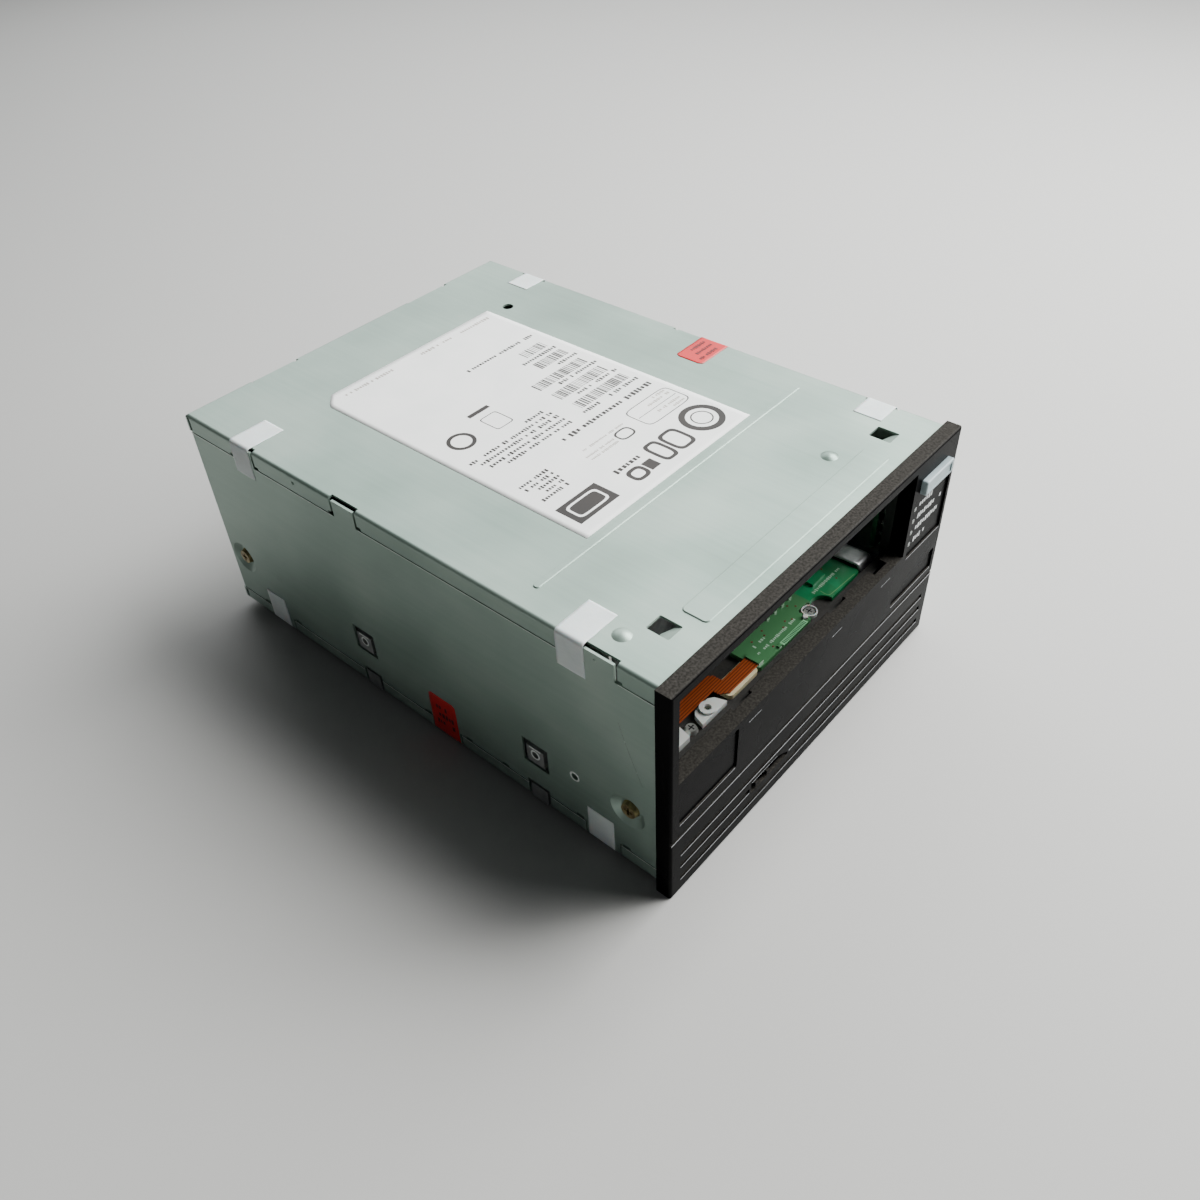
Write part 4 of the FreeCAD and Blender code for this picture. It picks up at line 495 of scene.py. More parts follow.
def piece(name, points, faces, finish, slot, smooth=False):
    """A mesh object from arrays, with its finish, that rides on the chassis."""
    mesh = bpy.data.meshes.new(name)
    mesh.from_pydata(points.reshape(-1, 3).tolist(), [], faces.tolist())
    mesh.materials.append(finish)
    mesh.polygons.foreach_set("use_smooth", np.full(len(mesh.polygons), smooth))
    mesh.update()
    made = bpy.data.objects.new(name, mesh)
    bpy.context.collection.objects.link(made)
    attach(made, "chassis")
    return made


def thicken(made, thickness, offset=1.0):
    """Gives a sheet its real thickness, outwards where offset is 1."""
    solid = made.modifiers.new("thickness", "SOLIDIFY")
    solid.thickness = thickness
    solid.offset = offset


def quads(x, y, z):
    """Separate quads from arrays of their four corners; a single value serves every corner."""
    points = np.stack(np.broadcast_arrays(x, y, z), axis=-1).reshape(-1, 3)
    return points, np.arange(len(points)).reshape(-1, 4)


def merged(patches):
    """Joins (points, faces) patches into one pair of arrays, shifting each patch's indices."""
    counts = np.cumsum([0] + [len(points) for points, _ in patches])
    points = np.concatenate([points for points, _ in patches])
    faces = np.concatenate([faces + count for (_, faces), count in zip(patches, counts)])
    return points, faces


print("a 3 by 3 grid has", len(grid_faces(3, 3)), "faces")

# %% [markdown]
# ## The paper label
#
# The label is a sheet of 80 by 121 mm with one corner cut off. Pressed on by hand, it never lies
# dead flat: it follows the sheet with ripples of a few hundredths of a millimetre, which only show
# in how it catches the light. A grid of points whose left side steps in at the rear makes the cut
# corner, and a sum of two slow sines makes the ripples.

# %% Label on the lid
LABEL_LEFT, LABEL_RIGHT = -40.0 * MM, 40.3 * MM
LABEL_FRONT, LABEL_REAR = depth(51.7), depth(172.3)
LABEL_CORNER = 5.2 * MM
LABEL_THICKNESS = 0.08 * MM
LABEL_GRID = (61, 41)                 # points along the depth and across


def label_height(x, y):
    """Ripples: a sine along each direction, 31 and 23 mm long, 0.03 mm high together."""
    return lid_top + 0.03 * MM + 0.015 * MM * (np.sin(x / (5 * MM)) + np.sin(y / (3.7 * MM) + 1.0))


def label_top(x, y):
    """The face that is printed: the ripples, higher by the paper's thickness."""
    return label_height(x, y) + LABEL_THICKNESS


share_x, share_y = np.meshgrid(*[np.linspace(0, 1, count) for count in LABEL_GRID[::-1]])
label_y = LABEL_FRONT + share_y * (LABEL_REAR - LABEL_FRONT)
cut = np.maximum(0.0, label_y - (LABEL_REAR - LABEL_CORNER))
label_x = (LABEL_LEFT + cut) + share_x * (LABEL_RIGHT - LABEL_LEFT - cut)
label_points = np.stack([label_x, label_y, label_height(label_x, label_y)], axis=-1)
label = piece("paper_label", label_points, grid_faces(*LABEL_GRID)[:, ::-1], label_paper,
              "white_moulding", smooth=True)
thicken(label, LABEL_THICKNESS)
label_size = [round(1000 * length, 1) for length in (LABEL_RIGHT - LABEL_LEFT,
                                                    LABEL_REAR - LABEL_FRONT)]
print("label of", label_size, "mm")

# %% [markdown]
# ## Print on the label
#
# Real labels carry words and marks. This one stays generic: rows of small bars take the place of
# words, and plain rings, frames and blocks take the place of marks, so the label has the right
# weight and rhythm and says nothing. A row of words is a run of glyph bars. Their widths come
# from a random generator with a fixed seed, and a running sum of widths places them, so the row
# is one array. A bar code is the same with taller bars.

# %% Rows of bars
INK_LIFT = 0.015 * MM
CODE_MODULE = 0.22                    # millimetres, the narrowest bar of a bar code
chance = np.random.default_rng(7)


def word_row(start_x, end_x, y, height):
    """Bars like a line of words: running sums of random widths, tall or low, with word gaps."""
    length = abs(end_x - start_x)
    advance = height * chance.uniform(0.55, 0.85, int(length / (0.5 * height)))
    left = np.cumsum(advance) - advance
    letters = left + advance < length
    letters &= chance.random(len(advance)) > 0.14
    tall = np.where(chance.random(len(advance)) > 0.6, 1.0, 0.68) * height
    direction = np.sign(end_x - start_x)
    near = start_x + direction * left
    far = near + direction * advance * 0.66
    low_x, high_x = np.minimum(near, far), np.maximum(near, far)
    return np.stack([low_x, high_x, y - tall / 2, y + tall / 2], axis=-1)[letters]


def word_rows(*rows):
    """The bars of several rows of words, drawn one after the other."""
    return np.concatenate([word_row(*row) for row in rows])


def bar_code(start_x, end_x, low_y, high_y):
    """Upright bars of one to three modules, with gaps of one to three modules between them."""
    steps = CODE_MODULE * chance.integers(1, 4, 2 * int((end_x - start_x) / CODE_MODULE / 3.4))
    edges = start_x + np.cumsum(steps)
    bars = np.stack([edges[0:-1:2], edges[1::2]], axis=-1)
    bars = bars[bars[:, 1] < end_x]
    rows = np.broadcast_to([low_y, high_y], bars.shape)
    return np.concatenate([bars, rows], axis=-1)


def flat_bars(bars, height_of, lift=INK_LIFT):
    """Quads for (left, right, front, rear) rows in metres, laid on a surface height."""
    left, right, front, rear = bars.T
    x = np.stack([left, right, right, left], axis=-1)
    y = np.stack([front, front, rear, rear], axis=-1)
    return quads(x, y, height_of(x, y) + lift)


def on_lid(bars):
    """Turns rows in millimetres, counted from the centre line and front edge, into metres."""
    return np.column_stack([bars[:, :2] * MM, front_edge + bars[:, 2:] * MM])


def level(height):
    """The height of a flat face, as a function of place like that of the label."""
    return lambda x, y: height


def print_on(name, bars, height_of, ink, lift=INK_LIFT):
    """One piece of printed bars, given in millimetres like the rows above."""
    return piece(name, *flat_bars(on_lid(bars), height_of, lift), ink, "component_black")


print(len(word_row(0, 30, 0, 1.8)), "glyph bars in a 30 mm row")

# %% [markdown]
# ## The words and bar codes
#
# A row is given by where it starts and ends across the lid, how far it is from the front edge and
# how tall its letters are. The label is read from behind the drive, so seen from the front its
# rows run from right to left. Rows that start at the same place share one list.

# %% Words and bar codes of the label
heading = [(36.5, -8.5, 90.3, 2.3)]
details = [(36.5, end, y, 1.7) for end, y in ((7.5, 95.8), (16.0, 105.2), (16.3, 114.4),
                                              (26.0, 123.7), (18.5, 133.0), (1.0, 145.5))]
notices = [(2.4, end, y, 1.7) for end, y in ((-27.5, 95.6), (-33.0, 98.4), (-34.0, 101.4),
                                             (-35.6, 104.2), (-8.0, 107.1))]
address = [(-22.2, end, y, 1.6) for end, y in ((-35.5, 73.6), (-31.0, 76.0), (-33.5, 78.5),
                                               (-36.0, 81.0), (-36.0, 83.4))]
words = word_rows(*heading, *details, *notices, *address, (0.4, -13.5, 65.6, 2.4))
print_on("label_word_bars", words, label_top, brown_ink)
codes = np.concatenate([bar_code(start, 35.2, low, high) for start, low, high in (
    (23.0, 135.2, 139.8), (21.0, 125.8, 130.6), (10.0, 116.2, 121.0), (10.0, 106.8, 111.8),
    (10.0, 97.8, 102.6))])
print_on("label_bar_codes", codes, label_top, brown_ink)
faint = word_rows((36.5, 21.0, 168.0, 1.6), (17.5, 12.0, 168.0, 1.6), (11.0, 0.5, 168.0, 1.6),
                  (-10.0, -34.5, 168.0, 1.6), (3.0, -10.5, 78.0, 1.0), (3.0, -10.5, 76.0, 1.0),
                  (11.5, -10.0, 81.3, 1.0), (35.5, 24.0, 81.4, 1.2), (35.5, 29.0, 83.4, 1.2),
                  (35.5, 23.0, 76.8, 1.2), (35.5, 29.0, 74.8, 1.2))
print_on("label_faint_rows", faint, label_top, faint_ink)
print(f"{len(words)} glyph bars and {len(codes)} code bars")

# %% [markdown]
# ## Rings, frames and blocks of the label
#
# The larger marks are flat bands that follow a closed line. A band is a grid of two rows: one row
# lies a little inside the line and the other a little outside. For a ring the line is a circle.
# For a frame it is a superellipse, which is a circle's formula with a higher power: the higher
# the power, the squarer the corners. A large block is split into tiles, so that it can follow the
# ripples of the paper under it.

# %% Closed bands and tiled blocks on the label
BAND_STEPS = 72
TILE = 2.0                            # millimetres


def closed_band(centre, half_x, half_y, width, power, height_of=label_top):
    """A flat band round a superellipse: |x/a|^p + |y/b|^p = 1, grown and shrunk by half a width."""
    angle = np.linspace(0, 2 * np.pi, BAND_STEPS, endpoint=False)
    cosine, sine = np.cos(angle), np.sin(angle)
    radius = (np.abs(cosine) ** power + np.abs(sine) ** power) ** (-1 / power)
    grow = np.array([-width / 2, width / 2])[:, None]
    x = (centre[0] + (half_x + grow) * radius * cosine) * MM
    y = front_edge + (centre[1] + (half_y + grow) * radius * sine) * MM
    points = np.stack([x, y, height_of(x, y) + INK_LIFT], axis=-1)
    return points.reshape(-1, 3), grid_faces(2, BAND_STEPS, closed=True)


def tiled(left, right, front, rear):
    """Splits a block into tiles of about a tile's size: neighbours in two even divisions."""
    x = np.linspace(left, right, 1 + max(1, round((right - left) / TILE)))
    y = np.linspace(front, rear, 1 + max(1, round((rear - front) / TILE)))
    near_x, near_y = [grid.ravel() for grid in np.meshgrid(x[:-1], y[:-1])]
    far_x, far_y = [grid.ravel() for grid in np.meshgrid(x[1:], y[1:])]
    return np.stack([near_x, far_x, near_y, far_y], axis=-1)


marks = [closed_band(*band) for band in (
    ((29.8, 63.2), 6.6, 6.6, 2.2, 2), ((29.8, 63.2), 3.6, 3.6, 0.5, 2),
    ((-27.5, 115.8), 4.2, 4.2, 1.4, 2), ((26.7, 79.0), 10.6, 5.8, 0.35, 7),
    ((-11.8, 115.6), 3.6, 4.4, 0.35, 8), ((15.2, 62.2), 3.6, 5.0, 1.3, 4),
    ((7.0, 62.2), 2.6, 5.0, 1.3, 4), ((-6.6, 60.0), 2.8, 2.6, 1.4, 3),
    ((7.6, 77.2), 3.2, 2.4, 0.7, 3))]
blocks = [tiled(*block) for block in (
    (-36.0, -18.6, 57.2, 67.6), (-16.4, -7.2, 123.2, 125.0), (17.0, 36.4, 78.9, 79.15),
    (-2.6, 1.6, 57.6, 62.4))]
marks.append(flat_bars(on_lid(np.concatenate(blocks)), label_top))
piece("label_marks", *merged(marks), brown_ink, "component_black")
inlay = closed_band((-27.3, 62.4), 6.2, 3.2, 0.8, 6, lambda x, y: label_top(x, y) + INK_LIFT)
piece("label_block_inlay", *inlay, label_paper, "white_moulding")
print(len(marks) - 1, "bands and", len(blocks), "blocks on the label")

# %% [markdown]
# ## Tapes and seals over the folds
#
# Strips of masking tape hold the covers to the walls, and red seals lie over two of the seams. Each
# starts on a flat face, bends over a fold and ends on the next face. So a strip is a profile
# carried along the depth: its path is a straight run, a quarter circle that follows the
# fold, and another straight run. The angle of the arc goes evenly from up to sideways. The
# ends of a seal are rounded, so its half width shrinks near an end by the circle's formula.

# %% Strips over a fold
FOLD = 1.2 * MM                       # outside radius of the sheets' folds
RUN_SAMPLES, ARC_SAMPLES = 22, 9      # points along a straight run and round a fold
STRIP_COLUMNS = 13                    # points across a strip
EDGE_WAVE, EDGE_PHASE = 0.05 * MM, 900  # how far a cut edge wanders, and radians per metre
RIPPLE = 0.02 * MM
GAP = 0.005 * MM                      # clear space under a strip
UNDER_TRAY = 6 * MM                   # how far a foot strip reaches under the tray


def over_fold(reach, drop, side, top, direction=1):
    """Points (x, z) and normals of a path: flat run, quarter arc of the fold, upright run."""
    flat = np.linspace(-reach, 0, RUN_SAMPLES)
    angle = np.linspace(np.pi / 2, 0, ARC_SAMPLES)[1:]
    upright = np.linspace(0, -drop, RUN_SAMPLES)[1:]
    centre_x = half_width - FOLD
    x = np.concatenate([centre_x + flat, centre_x + FOLD * np.cos(angle),
                        np.full(len(upright), half_width)])
    rise = np.concatenate([np.full(len(flat), FOLD), FOLD * np.sin(angle), upright])
    normal_x = np.concatenate([np.zeros(len(flat)), np.cos(angle), np.ones(len(upright))])
    normal_z = np.concatenate([np.ones(len(flat)), np.sin(angle), np.zeros(len(upright))])
    return side * x, top + direction * (rise - FOLD), side * normal_x, direction * normal_z


def strip(name, rows, path, finish, tilt=0.0, corner=0.0, thickness=0.12):
    """A strip along a path: grid of path points by width, ends rounded, edges slightly wavy."""
    x, z, normal_x, normal_z = path
    run = np.concatenate([[0], np.cumsum(np.hypot(np.diff(x), np.diff(z)))])
    from_end = np.minimum(run, run[-1] - run)
    radius = corner * MM
    inset = np.where(from_end < radius, radius - np.sqrt(np.maximum(
        radius ** 2 - (radius - from_end) ** 2, 0)), 0.0)
    near, far = depth(rows[0]), depth(rows[1])
    across = 2 * np.linspace(0, 1, STRIP_COLUMNS)[None, :] - 1
    half = (far - near) / 2 - inset[:, None]
    lean = tilt * MM * (run / run[-1])[:, None]
    edge = EDGE_WAVE * np.sin(run * EDGE_PHASE + rows[0])[:, None] * across
    y = (near + far) / 2 + lean + half * across + edge
    lift = RIPPLE + RIPPLE * np.sin(y / (1.9 * MM)) * np.sin(run[:, None] / (3.1 * MM)) + GAP
    points = np.stack([x[:, None] + normal_x[:, None] * lift, y,
                       z[:, None] + normal_z[:, None] * lift], axis=-1)
    faces = grid_faces(len(x), STRIP_COLUMNS)
    outward = normal_z[0] * np.sign(x[-1] - x[0])
    made = piece(name, points, faces if outward > 0 else faces[:, ::-1], finish,
                 "white_moulding", smooth=True)
    thicken(made, thickness * MM)


def top_strip(name, rows, inner, low, side, finish, **shape):
    """A strip from the lid's face at x = inner down to z = low, both in mm."""
    path = over_fold(half_width - FOLD - inner * MM, lid_top - FOLD - low * MM, side, lid_top)
    strip(name, rows, path, finish, **shape)


def foot_strip(name, rows, high, finish, **shape):
    """A strip from z = high on the left wall down and under the tray."""
    strip(name, rows, over_fold(UNDER_TRAY, high * MM - FOLD, -1, 0.0, -1), finish, **shape)


top_strip("tape_left_front", (24.3, 34.3), 59.0, 70.4, -1, crepe_tape, tilt=-0.3)
top_strip("tape_left_rear", (167.6, 177.8), 58.5, 70.5, -1, crepe_tape, tilt=0.2)
top_strip("tape_right_front", (16.6, 26.8), 62.2, 70.5, 1, crepe_tape, tilt=0.2)
top_strip("tape_right_rear", (172.5, 182.5), 62.0, 70.5, 1, crepe_tape, tilt=-0.2)
foot_strip("tape_foot_front", (16.7, 26.9), 14.2, crepe_tape)
foot_strip("tape_foot_rear", (174.4, 185.2), 14.0, crepe_tape)
top_strip("seal_right", (83.3, 94.8), 56.6, 72.0, 1, red_vinyl, corner=1.6, thickness=0.08)
foot_strip("seal_left", (83.5, 96.0), 18.5, red_vinyl, corner=1.2, thickness=0.08)
print("6 tapes and 2 seals")

# %% [markdown]
# ## Turned shapes and bent strips
#
# Screw heads, rings and collars are all turned shapes. A short profile of (radius, rise) pairs
# goes round an axis: the radius is multiplied by the cosine and sine of a grid of angles. The
# profile starts with a small flat top, which is closed by quads that join the ring's two halves.
# A bent strip is a path with rounded corners, and each corner is a short parabola, the simplest
# smooth curve through two directions.

# %% Turned shapes
AXES = {"up": np.array([[1, 0, 0], [0, 1, 0], [0, 0, 1]]),
        "rear": np.array([[0, 0, 1], [1, 0, 0], [0, 1, 0]]),
        "left": np.array([[0, 0, 1], [0, 1, 0], [-1, 0, 0]]),
        "right": np.array([[0, 1, 0], [0, 0, 1], [1, 0, 0]])}


def turned_shape(profile, place, axis="up", steps=28, capped=True):
    """Points round an axis: place + radius (cos, sin) + rise; the first ring is closed by quads."""
    across, along, out = AXES[axis]
    radius, rise = (np.array(profile) * MM).T[:, :, None]
    angle = np.linspace(0, 2 * np.pi, steps, endpoint=False)[None, :]
    points = (place + (radius * np.cos(angle))[..., None] * across
              + (radius * np.sin(angle))[..., None] * along
              + (rise + 0 * angle)[..., None] * out)
    faces = grid_faces(len(profile), steps, closed=True)
    if capped:
        first = np.arange(steps // 2 - 1)
        cap = np.stack([first, first + 1, steps - 2 - first, steps - 1 - first], axis=-1)
        faces = np.concatenate([faces, cap])
    return points.reshape(-1, 3), faces


def place_at(x, row, z):
    """A point in metres from millimetres, with the row counted from the front edge."""
    return np.array([x * MM, depth(row), z * MM])


def rounded_path(corners, bend):
    """A path with each inner corner replaced by a parabola that starts and ends bend mm away."""
    corners = np.array(corners, dtype=float)
    share = np.linspace(0, 1, 9)[:, None]
    runs = [corners[:1]]
    for before, corner, after in zip(corners, corners[1:], corners[2:]):
        near = corner + bend * (before - corner) / np.linalg.norm(before - corner)
        far = corner + bend * (after - corner) / np.linalg.norm(after - corner)
        runs.append((1 - share) ** 2 * near + 2 * share * (1 - share) * corner + share ** 2 * far)
    return np.concatenate(runs + [corners[-1:]])


print("a path with one bend has", len(rounded_path([(0, 0), (9, 0), (9, 9)], 2)), "points")

# %% [markdown]
# ## Finishes of the small parts
#
# The recipes above also serve the small parts. Lacquer over a fine track, a dab of sealant and
# screen print are as thin and matt as the label, so they are stuck-on sheets too. A painted
# highlight along the bezel's lips is the bezel's plastic, paler and smoother.

# %% Materials of the small parts
pad_sealant = stuck_on("red_brown_sealant", "#571a10", "#6e2a1c", 0.3, 0.42, 0.2)
board_ink = stuck_on("board_screen_print", "#86a98d", "#a3bfa7", 0.15, 0.45, 0.1)
guard_track = stuck_on("tinned_guard_track", "#5d8a57", "#78a06a", 0.3, 0.35, 0.1)
pale_green = stuck_on("thin_green_lacquer", "#6aa876", "#86c091", 0.4, 0.36, 0.1)
dark_green = stuck_on("deep_green_gap", "#0f3a22", "#174a2d", 0.4, 0.4, 0.1)
# Painted highlight: pale, smooth plastic for the glint along the bezel's ledges.
painted_glint_abs = moulded_plastic("painted_glint_black_abs", "#8f9296", "#abaeb2", 0.3, 0.24, 0.1)
# Polished steel painted near white: its colour also paints in the bracket's sheen.
polished_painted_sheen = bare_metal("polished_steel_painted_sheen", "#e2e4e3", "#f4f6f5", 0.25, 0.30, 0.05)
scratched_zinc = bare_metal("scratched_zinc", "#c3ccc5", "#dbe1db", 0.3, 0.25, 0.1)
# Raw cut edge painted bright and less metallic, so it shows as a highlight even in shade.
raw_edge_highlight = bare_metal("raw_cut_steel_painted_highlight", "#dfe6e1", "#f4f8f5", 0.3, 0.34, 0.10, metallic=0.25)
print("made 9 finishes for small parts")

# %% [markdown]
# ## The board behind the slot
#
# The green board is seen from above through the slot. Its lacquer is duller over the copper plane
# at the left and more saturated over bare laminate at the right. It has small drilled pads with
# red-brown sealant, a row of dark fingers on a paler strip, white print, and a guard track that
# turns a corner. Pads are turned shapes, and print and fingers are flat bars.

# %% Pads, print, fingers and guard track
PARTS_RISE = 0.5 * MM                 # the finger strip's face over the board's
TRACK_HALF = 0.12 * MM
FINGERS, FINGER_WIDTH = 18, 0.32
board_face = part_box("front_board")[1][2]
strip_face = level(board_face + PARTS_RISE)
pads = [(1.4, 9.3), (-1.2, 8.1), (-6.5, 12.4), (-7.7, 10.7), (-12.5, 12.0), (-10.0, 5.9),
        (29.2, 13.7), (28.4, 7.6), (7.6, 12.6), (9.2, 10.5), (3.5, 8.1)]
spots = [place_at(x, row, board_face / MM) for x, row in pads]
rims = [turned_shape([(0.14, 0.03), (0.34, 0.03), (0.38, 0.0)], spot, steps=16, capped=False)
        for spot in spots]
# Dark caps in the drilled holes: painted shade of the holes.
hole_shades = [turned_shape([(0.08, 0.05), (0.2, 0.02)], spot, steps=12) for spot in spots]
piece("board_pads", *merged(rims), pad_sealant, "component_black", smooth=True)
piece("board_pad_hole_shades", *merged(hole_shades), chip_epoxy, "component_black")
print_on("board_print", word_rows((-14.0, -8.0, 10.2, 1.3), (-12.6, 4.6, 7.5, 1.1),
                                  (17.6, 33.4, 9.5, 1.1), (-15.6, -14.4, 7.6, 1.0)),
         level(board_face), board_ink)
guard = rounded_path([(19.9, 8.2), (19.6, 4.9), (33.6, 4.1)], 1.6) * MM
drift = np.gradient(guard, axis=0)
side = np.stack([-drift[:, 1], drift[:, 0]], axis=-1) / np.linalg.norm(drift, axis=1)[:, None]
edges = np.stack([guard + TRACK_HALF * side, guard - TRACK_HALF * side])
guard_points = np.dstack([edges, np.full(edges.shape[:2], board_face + INK_LIFT)])
guard_points[..., 1] += front_edge
piece("board_guard_track", guard_points, grid_faces(2, len(guard)), guard_track, "component_black")
lefts = np.linspace(-7.2, 4.1, FINGERS)
fingers = np.column_stack([lefts, lefts + FINGER_WIDTH, np.full(FINGERS, 3.5),
                           np.full(FINGERS, 4.7)])
print_on("finger_strip", np.array([[-8.0, 5.0, 3.3, 5.0]]), strip_face, pale_green, 0.02 * MM)
print_on("finger_bars", fingers, strip_face, dark_green, 0.04 * MM)
print(len(pads), "pads and", FINGERS, "fingers")

# %% [markdown]
# ## Screws behind the slot
#
# The two screws of the shelf get their cross recess, drawn as two dark bars of painted shade, and
# one more screw stands in the clamp's ring. The right screw has a white seat in the board's notch,
# with a small square stud beside it.

# %% Screws behind the slot
RECESS_LIFT = 0.02 * MM


def cross(half, width):
    """Rows of two bars that cross, both reaching from -half to half, in millimetres."""
    return np.array([[-half, half, -width, width], [-width, width, -half, half]])


def recess_shade(place, half, width):
    """The cross recess of a screw as painted shade: two flat dark bars, laid on the screw's head.
    """
    bars = cross(half, width) * MM + np.array([place[0], place[0], place[1], place[1]])
    return flat_bars(bars, level(place[2]), RECESS_LIFT)


ring_place = place_at(-42.6, 6.2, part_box("guide_clamp")[0][2] / MM + 1.6)
screw_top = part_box("front_screws")[1][2] / MM
right_screw = (10.4, 6.2)
ring_screw = turned_shape([(0.3, 0.0), (0.8, -0.03), (1.0, -0.2), (1.05, -0.5), (1.05, -1.2)],
                          ring_place)
piece("ring_screw", *ring_screw, nickel, "plated_screw", smooth=True)
# Dark crosses: painted shade in the screws' recesses.
recess_shades = [recess_shade(ring_place, 0.6, 0.14), recess_shade(place_at(-50.6, 6.0, screw_top), 1.1, 0.22),
            recess_shade(place_at(*right_screw, screw_top), 1.1, 0.22)]
piece("slot_screw_recess_shades", *merged(recess_shades), chip_epoxy, "component_black")
seat = turned_shape([(2.15, -0.6), (2.2, 0.0), (2.5, 0.0), (2.6, -0.2), (2.6, -1.4)],
                    place_at(*right_screw, 44.4), steps=36, capped=False)
stud = turned_shape([(0.9, 0.9), (1.1, 0.7), (1.15, 0.0)], place_at(6.4, 5.2, board_face / MM),
                    steps=4)
piece("screw_seat", *merged([seat, stud]), clamp_white, "white_moulding")
print(len(recess_shades), "screw recesses")

# %% [markdown]
# ## The bright bracket
#
# At the right end of the board a polished spring bracket bridges the shelf and bends down in
# front. Its steel is painted near white, which paints in the sheen of its reflection. It takes the
# place of the plain strip of the solid model. Its profile is carried across in nine steps, skewed a
# little towards the front.

# %% Polished bracket at the right of the board
bracket_low, bracket_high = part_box("slot_bracket")
profile = rounded_path([(16.6, 43.0), (15.4, 46.0), (5.0, 46.4), (3.7, 43.2)], 1.5)
across = np.linspace(36.9, 44.2, 9)
skew = np.linspace(1.2, 0.0, len(profile))[:, None]
x = (across[None, :] - skew) * MM
y = np.broadcast_to(front_edge + profile[:, :1] * MM, x.shape)
z = np.broadcast_to(profile[:, 1:] * MM, x.shape)
bracket = piece("bracket_strip", np.stack([x, y, z], axis=-1), grid_faces(*x.shape),
                polished_painted_sheen, "plated_screw", smooth=True)
thicken(bracket, 0.7 * MM, -1.0)
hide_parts("slot_bracket")
print("bracket over x", round(bracket_low[0] / MM, 1), "to", round(bracket_high[0] / MM, 1), "mm")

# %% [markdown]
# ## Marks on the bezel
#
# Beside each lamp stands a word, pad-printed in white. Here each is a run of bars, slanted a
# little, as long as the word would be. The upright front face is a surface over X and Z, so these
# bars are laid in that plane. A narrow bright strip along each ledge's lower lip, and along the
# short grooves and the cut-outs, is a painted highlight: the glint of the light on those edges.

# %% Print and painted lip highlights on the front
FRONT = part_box("front_bezel")[0][1] / MM - front_edge / MM   # from the enclosure's front edge
PANEL_INSET, SLANT = 0.58, 0.12
LIP_PROUD = 0.02


def front_bars(bars, row, slant=0.0):
    """Quads for (left, right, low, high) rows in mm on an upright plane, leaning by slant."""
    left, right, low, high = np.array(bars, dtype=float).T
    x = np.stack([left, right, right + slant * (high - low), left + slant * (high - low)], axis=-1)
    z = np.stack([low, low, high, high], axis=-1)
    return quads(x * MM, depth(row), z * MM)


lamp_words = word_rows((53.6, 62.6, 64.6, 2.0), (53.6, 69.8, 59.9, 2.0),
                       (53.6, 69.4, 55.2, 2.0), (53.6, 62.0, 50.4, 2.0))
piece("lamp_words", *front_bars(lamp_words, FRONT + PANEL_INSET, SLANT), white_ink,
      "black_moulding")
# Painted highlights: bright strips where the ledges' lips catch the light.
lip_glints = [(-74.0, 74.0, 22.9, 23.25), (-69.6, 69.6, 13.9, 14.25), (-69.6, -35.3, 8.1, 8.45),
        (-13.8, 69.6, 8.1, 8.45), (-69.6, 69.6, 2.1, 2.45), (-70.3, -44.2, 28.8, 29.05),
        (44.4, 71.2, 27.15, 27.4), (49.6, 71.6, 44.8, 45.05), (-38.6, -32.4, 43.5, 43.7),
        (5.2, 10.8, 43.5, 43.7), (34.2, 40.0, 43.5, 43.7), (-34.2, -20.6, 11.9, 12.1)]
piece("painted_lip_glints", *front_bars(lip_glints, FRONT - LIP_PROUD), painted_glint_abs, "black_moulding")
print(len(lamp_words), "word bars and", len(lip_glints), "rubbed lips")

# %% [markdown]
# ## Small things on the walls
#
# The seals carry short rows of darker print. A few small pressed pips stand out of the left wall,
# one shallow dimple sits near its rear, and a curved scratch runs down behind the bezel. A wall
# bar is the same quad as before, laid in the plane of a side wall.

# %% Print on the seals and marks on the left wall
SCRATCH_POINTS, SCRATCH_WIDTH = 24, 0.14 * MM


def wall_bars(bars, lift, side=-1):
    """Quads for (front, rear, low, high) rows in mm on a side wall, counted from the front edge."""
    front, rear, low, high = np.array(bars, dtype=float).T
    y = front_edge + np.stack([front, front, rear, rear], axis=-1) * MM
    z = np.stack([low, high, high, low], axis=-1) * MM
    points, faces = quads(side * (half_width + lift), y, z)
    return points, faces[:, ::-side]


def on_wall(side, row, z, lift=0.0):
    """A point on a side wall, in metres from millimetres; side is -1 at the left."""
    return np.array([side * (half_width + lift), depth(row), z * MM])


right_words = word_rows((70.0, 58.6, 85.9, 1.5), (70.0, 60.0, 89.0, 1.5), (70.0, 61.0, 92.1, 1.5))
print_on("seal_right_print", right_words, level(lid_top + 0.14 * MM), dark_red_ink)
left_words = word_rows((85.4, 94.2, 13.2, 2.1), (85.4, 93.0, 9.6, 2.1), (85.4, 94.0, 6.0, 2.1))
piece("seal_left_print", *wall_bars(left_words, 0.16 * MM), dark_red_ink, "component_black")
pip = [(0.15, 0.32), (0.45, 0.24), (0.6, 0.0)]
pips = [turned_shape(pip, on_wall(-1, row, z), "left", steps=16)
        for row, z in ((20.5, 79.5), (145.0, 79.7), (62.5, 2.6))]
dimple = turned_shape([(0.5, -0.02), (1.3, 0.06), (1.9, 0.0)],
                      on_wall(-1, 173.8, 24.5, 0.02 * MM), "left")
piece("wall_pips", *merged(pips + [dimple]), zinc, "plated_screw", smooth=True)
fall = np.linspace(0, 1, SCRATCH_POINTS)
scratch_y = depth(13.2 - 8.0 * fall + 1.6 * fall * (1 - fall))
scratch_z = (61.0 - 21.0 * fall) * MM
